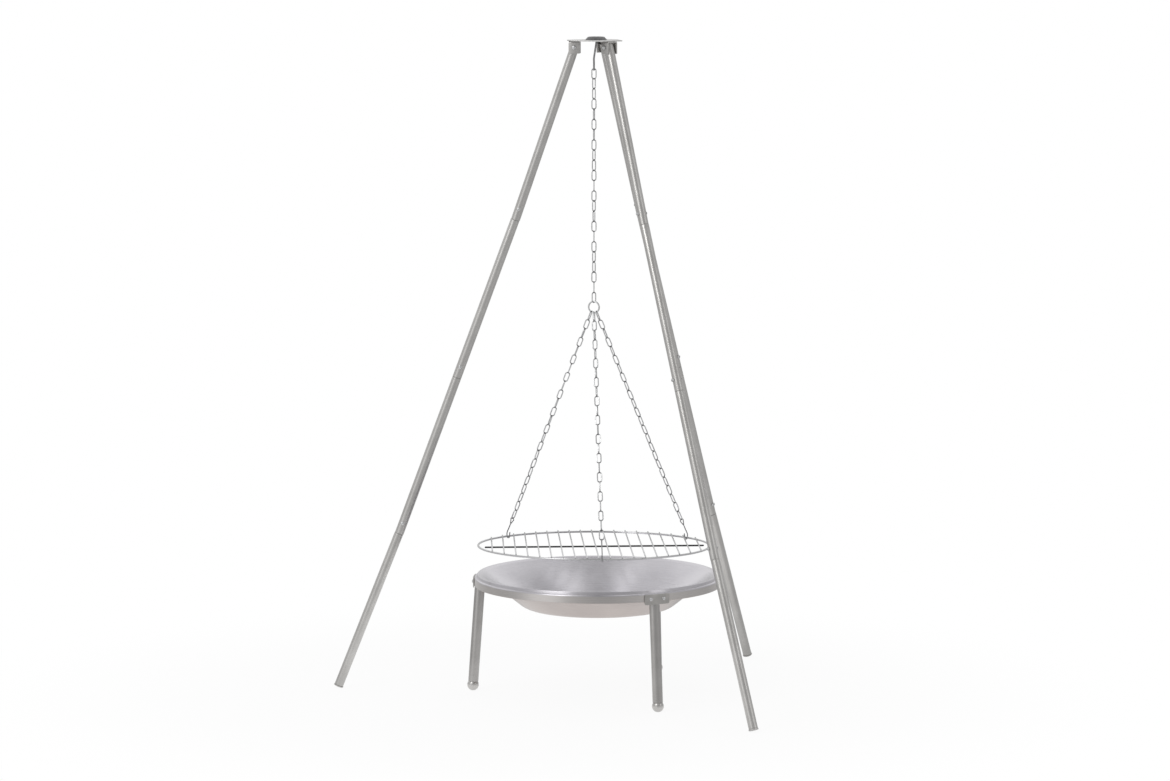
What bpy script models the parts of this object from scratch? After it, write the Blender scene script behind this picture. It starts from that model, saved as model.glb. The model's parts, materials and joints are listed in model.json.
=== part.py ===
"""Fire pit with a swing grill hung from a sectional tripod.

Metres, Z up, standing on Z = 0 with the middle of its bounding box on the Z axis.
X runs to the right and Y away from the viewer. Angles are in degrees.
"""
import math

import bmesh
import bpy
from mathutils import Matrix, Vector

# Clearance between pieces that rest on each other
GAP = 0.0003

# Tripod legs: four tubes on each, the lower three with a reduced spigot in the tube above
TUBE_RADIUS = 0.0115
TUBE_WALL = 0.0012
TUBE_SIDES = 12
SPIGOT_PLAY = 0.001
SPIGOT_REACH = 0.029
SPIGOT_SWAGE = 0.003
MOUTH_GAP = 0.0006
UPPER_LENGTH = 0.4345
SECTION_LENGTH = 0.4325
FOOT_LENGTH = 0.4615
TOP_LEAN = 19.1
SLEEVE_BEND = 1.33

# Foot caps
FOOT_RADIUS = 0.0125
FOOT_THICKNESS = 0.003
FOOT_CHAMFER = 0.0007
FOOT_PLUG_LENGTH = 0.015
FOOT_PLUG_PLAY = 0.0003
FOOT_FLAT = 0.0004

# Screws: shank radius, head and nut
SLEEVE_SCREW_RADIUS = 0.0025
CLEVIS_BOLT_RADIUS = 0.003
BOWL_BOLT_RADIUS = 0.0025
SCREW_HOLE_PLAY = 0.0005
HEAD_RATIO = 1.9
HEAD_HEIGHT_RATIO = 1.1
NUT_RATIO = 1.85
NUT_HEIGHT_RATIO = 1.5
SCREW_TAIL = 0.0015
SCREW_SIDES = 8

# Tripod head
PIVOT_RADIUS = 0.0548
PIVOT_DROP = 0.016
PLATE_TURN = 7.4
PLATE_THICKNESS = 0.0025
PLATE_LIP = 0.0024
PLATE_CORNER_WIDTH = 0.058
PLATE_ROUNDING = 0.005
CLEVIS_SHEET = 0.0025
CLEVIS_PLAY = 0.0006
CLEVIS_DEPTH = 0.028
CLEVIS_HEIGHT = 0.031
CLEVIS_ROUNDING = 0.002
LEG_DIRECTIONS = {"left": 174.0, "front": -55.0, "back": 51.0}
PIVOT_DIRECTIONS = {"left": 180.0, "front": -60.0, "back": 60.0}
CAP_RADIUS = 0.028
CAP_TOP_RADIUS = 0.0215
CAP_HEIGHT = 0.0085
CAP_SHEET = 0.0014

# Hanger hook: a bent rod through the plate, with its nut under the cap
ROD_RADIUS = 0.0024
ROD_HOLE_PLAY = 0.0006
ROD_NUT_RADIUS = 0.0048
ROD_NUT_HEIGHT = 0.004
ROD_TAIL = 0.001
ROD_STRAIGHT = 0.006
HOOK_DROP = 0.073
HOOK_SHIFT = -0.0055
HOOK_RADIUS = 0.0075
HOOK_NECK = 0.011
HOOK_TIP = 0.006
HOOK_MOUTH = 0.003

# Chain of long welded links; neighbours bite into each other by LINK_BITE, so a chain is one body
LINK_WIRE = 0.0015
LINK_INNER = 0.0252
LINK_WIDTH = 0.0135
LINK_BITE = 0.0007
LINK_RINGS = 8
LINK_SIDES = 4
# How far each link of the hanging chain is turned from the one above it, and the last one from the first
LINK_TURNS = [50, 80, 50, 75, 90, 95, 80, 75, 85, 55, 75, 80, 60, 65, 65, 90, 80, 60, 80, 50, 90, 122]
LAST_LINK_TURN = 32.0
BRIDLE_LINKS = 24

# Ring between the hanging chain and the bridles
RING_RADIUS = 0.0145
RING_WIRE = 0.002
RING_TURN = -23.0
RING_SPREAD = 30.0

# Grate
GRATE_RADIUS = 0.2965
GRATE_RIM_WIRE = 0.0026
GRATE_TILT = 1.45
GRATE_ROLL = -0.1
GRATE_TURN = 1.9
GRATE_CLEARANCE = 0.06
ROD_COUNT = 19
ROD_PITCH = 0.0294
ROD_SHIFT = 0.003
GRATE_ROD_WIRE = 0.0018
ROD_WELD = 0.0004
BAR_WIRE = 0.0022
BAR_SHORT = 0.014
BAR_SHIFT = 0.02
BAR_TURN = 3.2
RIM_STEPS = 48

# Hooks that carry the grate's rim
GRATE_HOOK_WIRE = 0.0014
GRATE_HOOK_SHANK = 0.0451
GRATE_HOOK_BEND = 0.009
GRATE_HOOK_TIP = 0.010
EYE_RADIUS = 0.0048
EYE_WIRE = 0.0013
EYE_LENGTH = 0.013
HOOK_DIRECTIONS = {"left": 137.1, "front": -87.9, "right": 33.9}

# Fire bowl: dish and skirt of one sheet, with a ridge inside the rounded rim
BOWL_SHIFT = 0.004
BOWL_SHEET = 0.002
SKIRT_RADIUS = 0.3162
RIM_HEIGHT = 0.3075
SKIRT_HEIGHT = 0.0285
RIM_ROUNDING = 0.0045
RIM_WIDTH = 0.0082
RIDGE_WIDTH = 0.0015
RIDGE_STEP = 0.0065
SHOULDER_WIDTH = 0.018
SHOULDER_DROP = 0.003
DISH_FLOOR = 0.2195
DISH_LEAN = 38.4
DISH_BEND = 0.054
BOWL_STEPS = 48

# Fire bowl's legs, brackets and ball feet
BOWL_LEG_RADIUS = 0.0131
BOWL_LEG_WALL = 0.0012
BOWL_LEG_FOOT_REACH = {"left": 0.3215, "front": 0.3225, "back": 0.3155}
BRACKET_SHEET = 0.003
BRACKET_WIDTH = 0.070
BRACKET_HEIGHT = 0.026
BRACKET_BELOW_SKIRT = 0.0065
BRACKET_ROUNDING = 0.004
BRACKET_BOLT_SPREAD = 0.036
BRACKET_BOLT_HEIGHT = 0.0142
BALL_RADIUS = 0.015
BALL_FLAT = 0.0003
BOWL_LEG_DIRECTIONS = {"left": 176.5, "front": -62.0, "back": 60.2}

# Colours as red, green, blue
TUBE_GREY = (0.42, 0.42, 0.41)
ZINC = (0.62, 0.63, 0.64)
STEEL = (0.55, 0.54, 0.56)
CHROME = (0.70, 0.70, 0.72)
DARK = (0.06, 0.06, 0.065)

UP = Vector((0, 0, 1))
AXIS_TURNS = {"X": Matrix.Rotation(math.radians(90), 4, "Y"), "Y": Matrix.Rotation(math.radians(-90), 4, "X")}


def clear_scene():
    for obj in list(bpy.data.objects):
        bpy.data.objects.remove(obj)


def new_collection(name):
    collection = bpy.data.collections.new(name)
    bpy.context.scene.collection.children.link(collection)
    return collection


def new_material(name, colour, roughness, metallic=1.0):
    material = bpy.data.materials.new(name)
    material.use_nodes = True
    shader = material.node_tree.nodes["Principled BSDF"]
    shader.inputs["Base Color"].default_value = (*colour, 1.0)
    shader.inputs["Roughness"].default_value = roughness
    shader.inputs["Metallic"].default_value = metallic
    return material


clear_scene()
PARTS = new_collection("fire_pit")
WORK = new_collection("shaping")
MATERIALS = {
    "tube": new_material("satin_tube", TUBE_GREY, 0.4),
    "zinc": new_material("bright_zinc", ZINC, 0.3),
    "steel": new_material("brushed_steel", STEEL, 0.35),
    "chrome": new_material("chromed_wire", CHROME, 0.15),
    "dark": new_material("dark_steel", DARK, 0.45),
}


# Shaping helpers

def temporary(data):
    """Puts a mesh or a curve in the shaping collection, at the origin."""
    obj = bpy.data.objects.new(data.name + "_work", data)
    WORK.objects.link(obj)
    return obj


def finished_mesh(obj, name):
    """Returns an object's shape with its modifiers as a plain mesh, and removes the object."""
    bpy.context.view_layer.update()
    graph = bpy.context.evaluated_depsgraph_get()
    mesh = bpy.data.meshes.new_from_object(obj.evaluated_get(graph))
    mesh.name = name
    bpy.data.objects.remove(obj)
    return mesh


def turned(name, profile, steps, closed=False):
    """Turns a profile of radii and heights about the Z axis."""
    count = len(profile)
    edges = [(i, i + 1) for i in range(count - 1)]
    if closed:
        edges.append((count - 1, 0))
    outline = bpy.data.meshes.new(name)
    outline.from_pydata([(radius, 0, height) for radius, height in profile], edges, [])
    obj = temporary(outline)
    screw = obj.modifiers.new("turn", "SCREW")
    screw.steps = steps
    screw.render_steps = steps
    screw.use_merge_vertices = True
    screw.merge_threshold = 0.00001
    return finished_mesh(obj, name)


def wire(name, points, radius, cyclic=False, resolution=1):
    """Returns a round wire along a list of points as a mesh with welded caps."""
    curve = bpy.data.curves.new(name, "CURVE")
    curve.dimensions = "3D"
    curve.bevel_depth = radius
    curve.bevel_resolution = resolution
    curve.use_fill_caps = True
    spline = curve.splines.new("POLY")
    spline.points.add(len(points) - 1)
    for point, place in zip(spline.points, points):
        point.co = (*place, 1.0)
    spline.use_cyclic_u = cyclic
    mesh = finished_mesh(temporary(curve), name)
    weld(mesh)
    return mesh


def flat(name, outline, thickness):
    """Returns a flat plate in the XY plane, centred on Z = 0."""
    curve = bpy.data.curves.new(name, "CURVE")
    curve.dimensions = "2D"
    curve.fill_mode = "BOTH"
    curve.extrude = thickness / 2
    spline = curve.splines.new("POLY")
    spline.points.add(len(outline) - 1)
    for point, place in zip(spline.points, outline):
        point.co = (place[0], place[1], 0.0, 1.0)
    spline.use_cyclic_u = True
    mesh = finished_mesh(temporary(curve), name)
    weld(mesh)
    return mesh


def weld(mesh):
    work = bmesh.new()
    work.from_mesh(mesh)
    bmesh.ops.remove_doubles(work, verts=work.verts, dist=0.000001)
    bmesh.ops.recalc_face_normals(work, faces=work.faces)
    work.to_mesh(mesh)
    work.free()


def cylinder(name, radius, length, sides):
    """Returns a closed cylinder along Z, centred on the origin."""
    work = bmesh.new()
    bmesh.ops.create_cone(work, cap_ends=True, segments=sides, radius1=radius, radius2=radius, depth=length)
    mesh = bpy.data.meshes.new(name)
    work.to_mesh(mesh)
    work.free()
    return mesh


def block(name, size, centre):
    work = bmesh.new()
    bmesh.ops.create_cube(work, size=1.0, matrix=Matrix.Translation(centre) @ Matrix.Diagonal((*size, 1.0)))
    mesh = bpy.data.meshes.new(name)
    work.to_mesh(mesh)
    work.free()
    return mesh


def moved(mesh, matrix):
    mesh.transform(matrix)
    return mesh


def joined(meshes, name):
    """Puts several meshes into one, without welding them."""
    work = bmesh.new()
    for mesh in meshes:
        work.from_mesh(mesh)
    result = bpy.data.meshes.new(name)
    work.to_mesh(result)
    work.free()
    return result


def boolean(mesh, operation, others):
    """Cuts others out of a mesh, or unites them with it."""
    body = temporary(mesh)
    for other in others:
        cutter = temporary(other)
        cutter.display_type = "WIRE"
        cutter.hide_render = True
        modifier = body.modifiers.new("shape", "BOOLEAN")
        modifier.operation = operation
        modifier.solver = "EXACT"
        modifier.object = cutter
    tools = [modifier.object for modifier in body.modifiers]
    result = finished_mesh(body, mesh.name)
    for tool in tools:
        bpy.data.objects.remove(tool)
    return result


def rounded(points, radius, segments=3):
    """Rounds the corners of an outline."""
    result = []
    count = len(points)
    for i, corner in enumerate(points):
        corner = Vector(corner)
        before = (Vector(points[i - 1]) - corner).normalized()
        after = (Vector(points[(i + 1) % count]) - corner).normalized()
        half = before.angle(after) / 2
        centre = corner + (before + after).normalized() * (radius / math.sin(half))
        start = corner + before * (radius / math.tan(half)) - centre
        end = corner + after * (radius / math.tan(half)) - centre
        sweep = start.angle_signed(end)
        for k in range(segments + 1):
            turn = Matrix.Rotation(-sweep * k / segments, 2)
            result.append(tuple(centre + turn @ start))
    return result


def arc(centre, radius, first, last, steps):
    """Points of an arc in a plane, as pairs."""
    angles = [math.radians(first + (last - first) * k / steps) for k in range(steps + 1)]
    return [(centre[0] + radius * math.cos(a), centre[1] + radius * math.sin(a)) for a in angles]


def frame(origin, x_axis, y_axis, z_axis):
    matrix = Matrix((x_axis, y_axis, z_axis)).transposed().to_4x4()
    matrix.translation = origin
    return matrix


def turn_z(degrees):
    return Matrix.Rotation(math.radians(degrees), 4, "Z")


def direction(degrees):
    return Vector((math.cos(math.radians(degrees)), math.sin(math.radians(degrees)), 0))


def part(name, mesh, material, parent, matrix=None):
    """Adds a named piece, placed in the space of its parent."""
    mesh.materials.clear()
    mesh.materials.append(MATERIALS[material])
    mesh.shade_smooth()
    mesh.set_sharp_from_angle(angle=math.radians(40))
    obj = bpy.data.objects.new(name, mesh)
    PARTS.objects.link(obj)
    obj.parent = parent
    obj.matrix_local = matrix or Matrix.Identity(4)
    return obj


def empty(name, parent, matrix):
    obj = bpy.data.objects.new(name, None)
    obj.empty_display_size = 0.03
    PARTS.objects.link(obj)
    obj.parent = parent
    obj.matrix_local = matrix
    return obj


def screw_mesh(name, radius, grip):
    """A domed screw along Z with its nut; the grip between head and nut is centred on the origin."""
    top = grip / 2
    head = radius * HEAD_RATIO
    height = radius * HEAD_HEIGHT_RATIO
    nut_height = radius * NUT_HEIGHT_RATIO
    end = -top - nut_height - SCREW_TAIL
    profile = [(0, top + height), (head * 0.75, top + height * 0.7), (head, top), (radius, top),
               (radius, end), (0, end)]
    nut = cylinder(name + "_nut", radius * NUT_RATIO, nut_height, 6)
    moved(nut, Matrix.Translation((0, 0, -top - nut_height / 2)))
    return boolean(turned(name, profile, SCREW_SIDES), "UNION", [nut])


# Heights and places that follow from the sizes

LEANS = [math.radians(TOP_LEAN + SLEEVE_BEND * bends) for bends in (0, 1, 1, 2)]
LENGTHS = [UPPER_LENGTH, SECTION_LENGTH, SECTION_LENGTH, FOOT_LENGTH]
FOOT_CENTRE_HEIGHT = FOOT_RADIUS * math.sin(LEANS[3]) - FOOT_FLAT
PIVOT_HEIGHT = FOOT_CENTRE_HEIGHT + sum(length * math.cos(lean) for length, lean in zip(LENGTHS, LEANS))
PLATE_UNDERSIDE = PIVOT_HEIGHT + PIVOT_DROP
PLATE_TOP = PLATE_UNDERSIDE + PLATE_THICKNESS
BORE = TUBE_RADIUS - TUBE_WALL
SPIGOT_RADIUS = BORE - SPIGOT_PLAY

LINK_SPAN = LINK_INNER + 2 * LINK_WIRE
LINK_PITCH = LINK_INNER + LINK_BITE
LINK_BEND = LINK_WIDTH / 2 - LINK_WIRE
HOOK_BOTTOM = Vector((HOOK_SHIFT, 0, PLATE_UNDERSIDE - HOOK_DROP))
FIRST_LINK_TOP = HOOK_BOTTOM + UP * (ROD_RADIUS + LINK_WIRE + GAP)
SECOND_LINK_TOP = FIRST_LINK_TOP - UP * (LINK_SPAN - 2 * LINK_WIRE - GAP)

# The chain line from the ring to the hook's bend sets how far the grate hangs below the ring
BRIDLE_LENGTH = LINK_SPAN + LINK_PITCH * (BRIDLE_LINKS - 1) - (RING_WIRE + EYE_WIRE + 2 * (LINK_WIRE + GAP))
HOOK_WRAP = GRATE_RIM_WIRE + GRATE_HOOK_WIRE + GAP
BEND_REACH = GRATE_RADIUS + HOOK_WRAP
BEND_DROP = math.sqrt((BRIDLE_LENGTH + GRATE_HOOK_SHANK) ** 2 - BEND_REACH ** 2)
RING_RISE = LINK_WIRE + RING_WIRE + GAP - RING_RADIUS
GRATE_DROP = BEND_DROP + GRATE_HOOK_BEND + RING_RADIUS - RING_RISE

# The hanging chain has as many links as hold the grate clear above the bowl
CHAIN_ROOM = SECOND_LINK_TOP.z - LINK_SPAN - GRATE_DROP - GRATE_CLEARANCE - RIM_HEIGHT
CHAIN_LINKS = 1 + int(CHAIN_ROOM / LINK_PITCH)
LAST_LINK_BOTTOM = SECOND_LINK_TOP - UP * (LINK_SPAN + LINK_PITCH * (CHAIN_LINKS - 1))
RING_CENTRE = LAST_LINK_BOTTOM + UP * RING_RISE
GRATE_CENTRE = LAST_LINK_BOTTOM - UP * GRATE_DROP
GRATE_FRAME = (Matrix.Translation(GRATE_CENTRE) @ Matrix.Rotation(math.radians(-GRATE_TILT), 4, "X")
               @ Matrix.Rotation(math.radians(-GRATE_ROLL), 4, "Y") @ turn_z(GRATE_TURN))
EYE_SHARE = BRIDLE_LENGTH / (BRIDLE_LENGTH + GRATE_HOOK_SHANK)


# Tripod legs

def tube_profile(top, end):
    """A plain tube's section, from top down to end."""
    return [(TUBE_RADIUS, top), (TUBE_RADIUS, -end), (BORE, -end), (BORE, top)]


def spigot_tube_profile(end):
    """A tube whose reduced upper end stands in the tube above; the screw crosses it at height zero."""
    shoulder = SPIGOT_REACH + MOUTH_GAP
    spigot_bore = SPIGOT_RADIUS - TUBE_WALL
    return [(SPIGOT_RADIUS, SPIGOT_REACH), (SPIGOT_RADIUS, -shoulder), (TUBE_RADIUS, -shoulder),
            (TUBE_RADIUS, -end), (BORE, -end), (BORE, -shoulder - SPIGOT_SWAGE), (spigot_bore, -shoulder),
            (spigot_bore, SPIGOT_REACH)]


def cross_hole(radius, height):
    hole = cylinder("hole", radius + SCREW_HOLE_PLAY, TUBE_RADIUS * 4, 8)
    return moved(hole, Matrix.Translation((0, 0, height)) @ AXIS_TURNS["Y"])


def leg_meshes():
    """Meshes of one leg's four tubes, each with its origin where its upper screw crosses it."""
    top = (PIVOT_DROP - GAP - CLEVIS_SHEET - GAP - TUBE_RADIUS * math.sin(LEANS[0])) / math.cos(LEANS[0])
    upper = turned("tube_1", tube_profile(top, UPPER_LENGTH + SPIGOT_REACH), TUBE_SIDES, closed=True)
    holes = [cross_hole(CLEVIS_BOLT_RADIUS, 0), cross_hole(SLEEVE_SCREW_RADIUS, -UPPER_LENGTH)]
    meshes = [boolean(upper, "DIFFERENCE", holes)]
    for number in (2, 3):
        profile = spigot_tube_profile(SECTION_LENGTH + SPIGOT_REACH)
        middle = turned(f"tube_{number}", profile, TUBE_SIDES, closed=True)
        holes = [cross_hole(SLEEVE_SCREW_RADIUS, 0), cross_hole(SLEEVE_SCREW_RADIUS, -SECTION_LENGTH)]
        meshes.append(boolean(middle, "DIFFERENCE", holes))
    lower = turned("tube_4", spigot_tube_profile(FOOT_LENGTH - FOOT_THICKNESS - GAP), TUBE_SIDES, True)
    meshes.append(boolean(lower, "DIFFERENCE", [cross_hole(SLEEVE_SCREW_RADIUS, 0)]))
    return meshes


def section_places():
    """Where each tube starts, in the leg's own frame with its origin on the pivot."""
    place = Vector((0, 0, 0))
    matrices = []
    for length, lean in zip(LENGTHS, LEANS):
        matrices.append(Matrix.Translation(place) @ Matrix.Rotation(-lean, 4, "Y"))
        place = place + Vector((math.sin(lean), 0, -math.cos(lean))) * length
    return matrices


def foot_cap_mesh():
    """A plug with a flange, cut flat where it stands on the ground, in the leg's frame."""
    plug = BORE - FOOT_PLUG_PLAY
    profile = [(0, FOOT_THICKNESS + FOOT_PLUG_LENGTH), (plug, FOOT_THICKNESS + FOOT_PLUG_LENGTH),
               (plug, FOOT_THICKNESS), (FOOT_RADIUS - FOOT_CHAMFER, FOOT_THICKNESS),
               (FOOT_RADIUS, FOOT_THICKNESS - FOOT_CHAMFER), (FOOT_RADIUS, 0), (0, 0)]
    cap = turned("foot_cap", profile, TUBE_SIDES)
    moved(cap, section_places()[3] @ Matrix.Translation((0, 0, -FOOT_LENGTH)))
    reach = sum(length * math.sin(lean) for length, lean in zip(LENGTHS, LEANS))
    side = FOOT_RADIUS * 4
    ground = block("ground", (side, side, side), (reach, 0, -PIVOT_HEIGHT - side / 2))
    return boolean(cap, "DIFFERENCE", [ground])


def add_leg(name, pivot, meshes, screw, cap):
    leg = empty(name + "_leg", pivot, Matrix.Identity(4))
    places = section_places()
    for number, (mesh, place) in enumerate(zip(meshes, places), 1):
        part(f"{name}_tube_{number}", mesh, "tube", leg, place)
    for number, place in enumerate(places[1:], 1):
        part(f"{name}_sleeve_screw_{number}", screw, "zinc", leg, place @ AXIS_TURNS["Y"])
    part(name + "_foot_cap", cap, "tube", leg)


# Tripod head

def plate_mesh():
    reach = PIVOT_RADIUS + CLEVIS_DEPTH / 2 + PLATE_LIP
    corners = []
    for azimuth in PIVOT_DIRECTIONS.values():
        out = direction(azimuth + PLATE_TURN)
        side = UP.cross(out)
        corners += [out * reach - side * PLATE_CORNER_WIDTH / 2, out * reach + side * PLATE_CORNER_WIDTH / 2]
    outline = rounded([(corner.x, corner.y) for corner in corners], PLATE_ROUNDING)
    plate = flat("top_plate", outline, PLATE_THICKNESS)
    hole = cylinder("hole", ROD_RADIUS + ROD_HOLE_PLAY, PLATE_THICKNESS * 4, 12)
    return boolean(plate, "DIFFERENCE", [hole])


def cap_mesh():
    profile = [(0, CAP_HEIGHT), (CAP_TOP_RADIUS * 0.8, CAP_HEIGHT), (CAP_TOP_RADIUS, CAP_HEIGHT * 0.85),
               (CAP_RADIUS, 0), (CAP_RADIUS - CAP_SHEET, 0),
               (CAP_TOP_RADIUS - CAP_SHEET, CAP_HEIGHT * 0.85 - CAP_SHEET), (0, CAP_HEIGHT - CAP_SHEET)]
    return turned("hub_cap", profile, 24)


def clevis_mesh():
    """An inverted U with its web up, in the pivot's frame: X outward, Y along the bolt."""
    inner = TUBE_RADIUS + CLEVIS_PLAY
    outer = inner + CLEVIS_SHEET
    top = PIVOT_DROP - GAP
    bottom = top - CLEVIS_HEIGHT
    bend = CLEVIS_ROUNDING
    outline = [(-inner, bottom), (-inner, top - CLEVIS_SHEET), (inner, top - CLEVIS_SHEET), (inner, bottom),
               (outer, bottom)]
    outline += arc((outer - bend, top - bend), bend, 0, 90, 3)
    outline += arc((bend - outer, top - bend), bend, 90, 180, 3)
    outline.append((-outer, bottom))
    strap = flat("clevis", outline, CLEVIS_DEPTH)
    moved(strap, frame((0, 0, 0), (0, 1, 0), (0, 0, 1), (1, 0, 0)))
    hole = cylinder("hole", CLEVIS_BOLT_RADIUS + SCREW_HOLE_PLAY, outer * 4, 8)
    return boolean(strap, "DIFFERENCE", [moved(hole, AXIS_TURNS["Y"])])


def hanger_mesh():
    """The rod with its nut, in the head's frame: origin on the tripod's axis at the ground."""
    top = PLATE_TOP + GAP + ROD_NUT_HEIGHT + ROD_TAIL
    bottom = HOOK_BOTTOM.z
    centre = bottom + HOOK_RADIUS
    points = [(0, 0, top), (0, 0, PLATE_UNDERSIDE - ROD_STRAIGHT),
              (HOOK_SHIFT, 0, centre + 2 * HOOK_NECK), (HOOK_SHIFT, HOOK_RADIUS * 0.6, centre + HOOK_NECK)]
    points += [(HOOK_SHIFT, y, z) for y, z in arc((0, centre), HOOK_RADIUS, 15, -180, 7)]
    points.append((HOOK_SHIFT, -HOOK_RADIUS - HOOK_MOUTH, centre + HOOK_TIP))
    rod = wire("hanger_hook", points, ROD_RADIUS, resolution=2)
    nut = cylinder("nut", ROD_NUT_RADIUS, ROD_NUT_HEIGHT, 6)
    moved(nut, Matrix.Translation((0, 0, PLATE_TOP + GAP + ROD_NUT_HEIGHT / 2)))
    return boolean(rod, "UNION", [nut])


# Chains

def link_mesh(name):
    """One link in the XZ plane with its top bend's wire centre at the origin, hanging down."""
    section = []
    for k in range(LINK_SIDES):
        angle = math.pi + 2 * math.pi * k / LINK_SIDES
        section.append((LINK_BEND + LINK_WIRE * math.cos(angle), -LINK_WIRE * math.sin(angle)))
    ring = turned(name, section, LINK_RINGS, closed=True)
    half_step = math.pi / LINK_RINGS
    moved(ring, Matrix.Rotation(math.radians(90), 4, "X") @ Matrix.Rotation(half_step, 4, "Z"))
    inner_bend = (LINK_BEND - LINK_WIRE) * math.cos(half_step)
    straight = LINK_INNER / 2 - inner_bend
    for vertex in ring.vertices:
        vertex.co.z += math.copysign(straight, vertex.co.z) - LINK_SPAN / 2
    weld(ring)
    return ring


def chain_mesh(name, start, down, face, turns, pitch):
    """Links hanging from start along down, each turned from the first one's face by its own angle."""
    side = face.cross(down).normalized()
    base = frame(start, side, (-down).cross(side), -down)
    groups = [[], []]
    for number, turn in enumerate(turns):
        link = link_mesh(name)
        moved(link, base @ Matrix.Translation((0, 0, -pitch * number)) @ turn_z(turn))
        groups[number % 2].append(link)
    odd, even = (joined(group, name) for group in groups if group)
    return boolean(odd, "UNION", [even])


def running_turns():
    """Each link's turn from the top one; what the last one lacks is shared out among them."""
    steps = [LINK_TURNS[k % len(LINK_TURNS)] for k in range(CHAIN_LINKS)]
    spare = (LAST_LINK_TURN - sum(steps) + 90) % 180 - 90
    turns = []
    for number, step in enumerate(steps):
        turns.append((turns[-1] if number else 0.0) + step + spare / CHAIN_LINKS)
    return turns


FACE = Vector((0, -1, 0))


def add_hanging_chain(parent):
    first = moved(link_mesh("chain_top_link"), Matrix.Translation(FIRST_LINK_TOP))
    first_pivot = empty("chain_top_pivot", parent, Matrix.Translation(HOOK_BOTTOM))
    part("chain_top_link", moved(first, Matrix.Translation(-HOOK_BOTTOM)), "zinc", first_pivot)
    chain = chain_mesh("main_chain", SECOND_LINK_TOP, -UP, FACE, running_turns(), LINK_PITCH)
    second_place = Matrix.Translation(SECOND_LINK_TOP - UP * (2 * LINK_WIRE + GAP))
    second_pivot = empty("chain_pivot", parent, second_place)
    part("main_chain", moved(chain, second_place.inverted()), "zinc", second_pivot)


def ring_point(angle):
    """A point on the ring's wire, at an angle from its lowest point."""
    across = direction(RING_TURN)
    angle = math.radians(angle)
    return RING_CENTRE + across * (RING_RADIUS * math.sin(angle)) - UP * (RING_RADIUS * math.cos(angle))


def ring_mesh():
    section = arc((RING_RADIUS, 0), RING_WIRE, 180, -180, 6)[:-1]
    ring = turned("chain_ring", section, 16, closed=True)
    upright = turn_z(RING_TURN) @ Matrix.Rotation(math.radians(90), 4, "X")
    return moved(ring, Matrix.Translation(RING_CENTRE) @ upright)


def rim_inset(azimuth):
    """How far the faceted rim lies inside its true circle at an azimuth."""
    step = 360 / RIM_STEPS
    off_middle = math.radians(azimuth % step - step / 2)
    return GRATE_RADIUS * (1 - math.cos(math.radians(step / 2)) / math.cos(off_middle))


def eye_place(azimuth):
    """Where a grate hook's eye meets its chain: on the chain's line above the hook's bend."""
    rise = GRATE_HOOK_BEND + BEND_DROP * (1 - EYE_SHARE)
    reach = BEND_REACH * EYE_SHARE - rim_inset(azimuth)
    return GRATE_FRAME @ (direction(azimuth) * reach + UP * rise)


def bridle_mesh(name, ring_angle, azimuth):
    """A chain from the ring to a hook's eye, turned evenly so that its ends cross both wires."""
    ring_wire = ring_point(ring_angle)
    eye = eye_place(azimuth)
    down = (eye - ring_wire).normalized()
    across = direction(RING_TURN)
    tangent = (across * math.cos(math.radians(ring_angle)) + UP * math.sin(math.radians(ring_angle)))
    face = (tangent - down * tangent.dot(down)).normalized()
    outward = GRATE_FRAME.to_3x3() @ direction(azimuth)
    last_face = (outward - down * outward.dot(down)).normalized()
    side = face.cross(down).normalized()
    end_turn = math.degrees(math.atan2(last_face.dot(side), last_face.dot(face)))
    quarter_turns = 90 * (BRIDLE_LINKS - 1)
    spare = (end_turn - quarter_turns + 90) % 180 - 90
    step = (quarter_turns + spare) / (BRIDLE_LINKS - 1)
    start = ring_wire - down * (RING_WIRE + LINK_WIRE + GAP)
    finish = eye + down * (EYE_WIRE + LINK_WIRE + GAP)
    pitch = ((finish - start).length - LINK_SPAN) / (BRIDLE_LINKS - 1)
    return chain_mesh(name, start, down, face, [step * k for k in range(BRIDLE_LINKS)], pitch)


# Grate

def grate_mesh():
    """Rim and rods welded into one, in the grate's frame with its origin at the rim's centre."""
    section = arc((GRATE_RADIUS, 0), GRATE_RIM_WIRE, 150, -210, 6)[:-1]
    rim = turned("grate", section, RIM_STEPS, closed=True)
    height = GRATE_RIM_WIRE + GRATE_ROD_WIRE - ROD_WELD
    rods = []
    for number in range(ROD_COUNT):
        across = (number - (ROD_COUNT - 1) / 2) * ROD_PITCH + ROD_SHIFT
        length = 2 * math.sqrt(GRATE_RADIUS ** 2 - across ** 2)
        rod = cylinder("rod", GRATE_ROD_WIRE, length, 6)
        rods.append(moved(rod, Matrix.Translation((across, 0, height)) @ AXIS_TURNS["Y"]))
    return boolean(rim, "UNION", [joined(rods, "rods")])


def support_bar_mesh():
    height = GRATE_RIM_WIRE - ROD_WELD - GAP - BAR_WIRE
    half = math.sqrt(GRATE_RADIUS ** 2 - BAR_SHIFT ** 2) - BAR_SHORT
    bar = cylinder("grate_support_bar", BAR_WIRE, 2 * half, 8)
    return moved(bar, turn_z(BAR_TURN) @ Matrix.Translation((0, -BAR_SHIFT, height)) @ AXIS_TURNS["X"])


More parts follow.
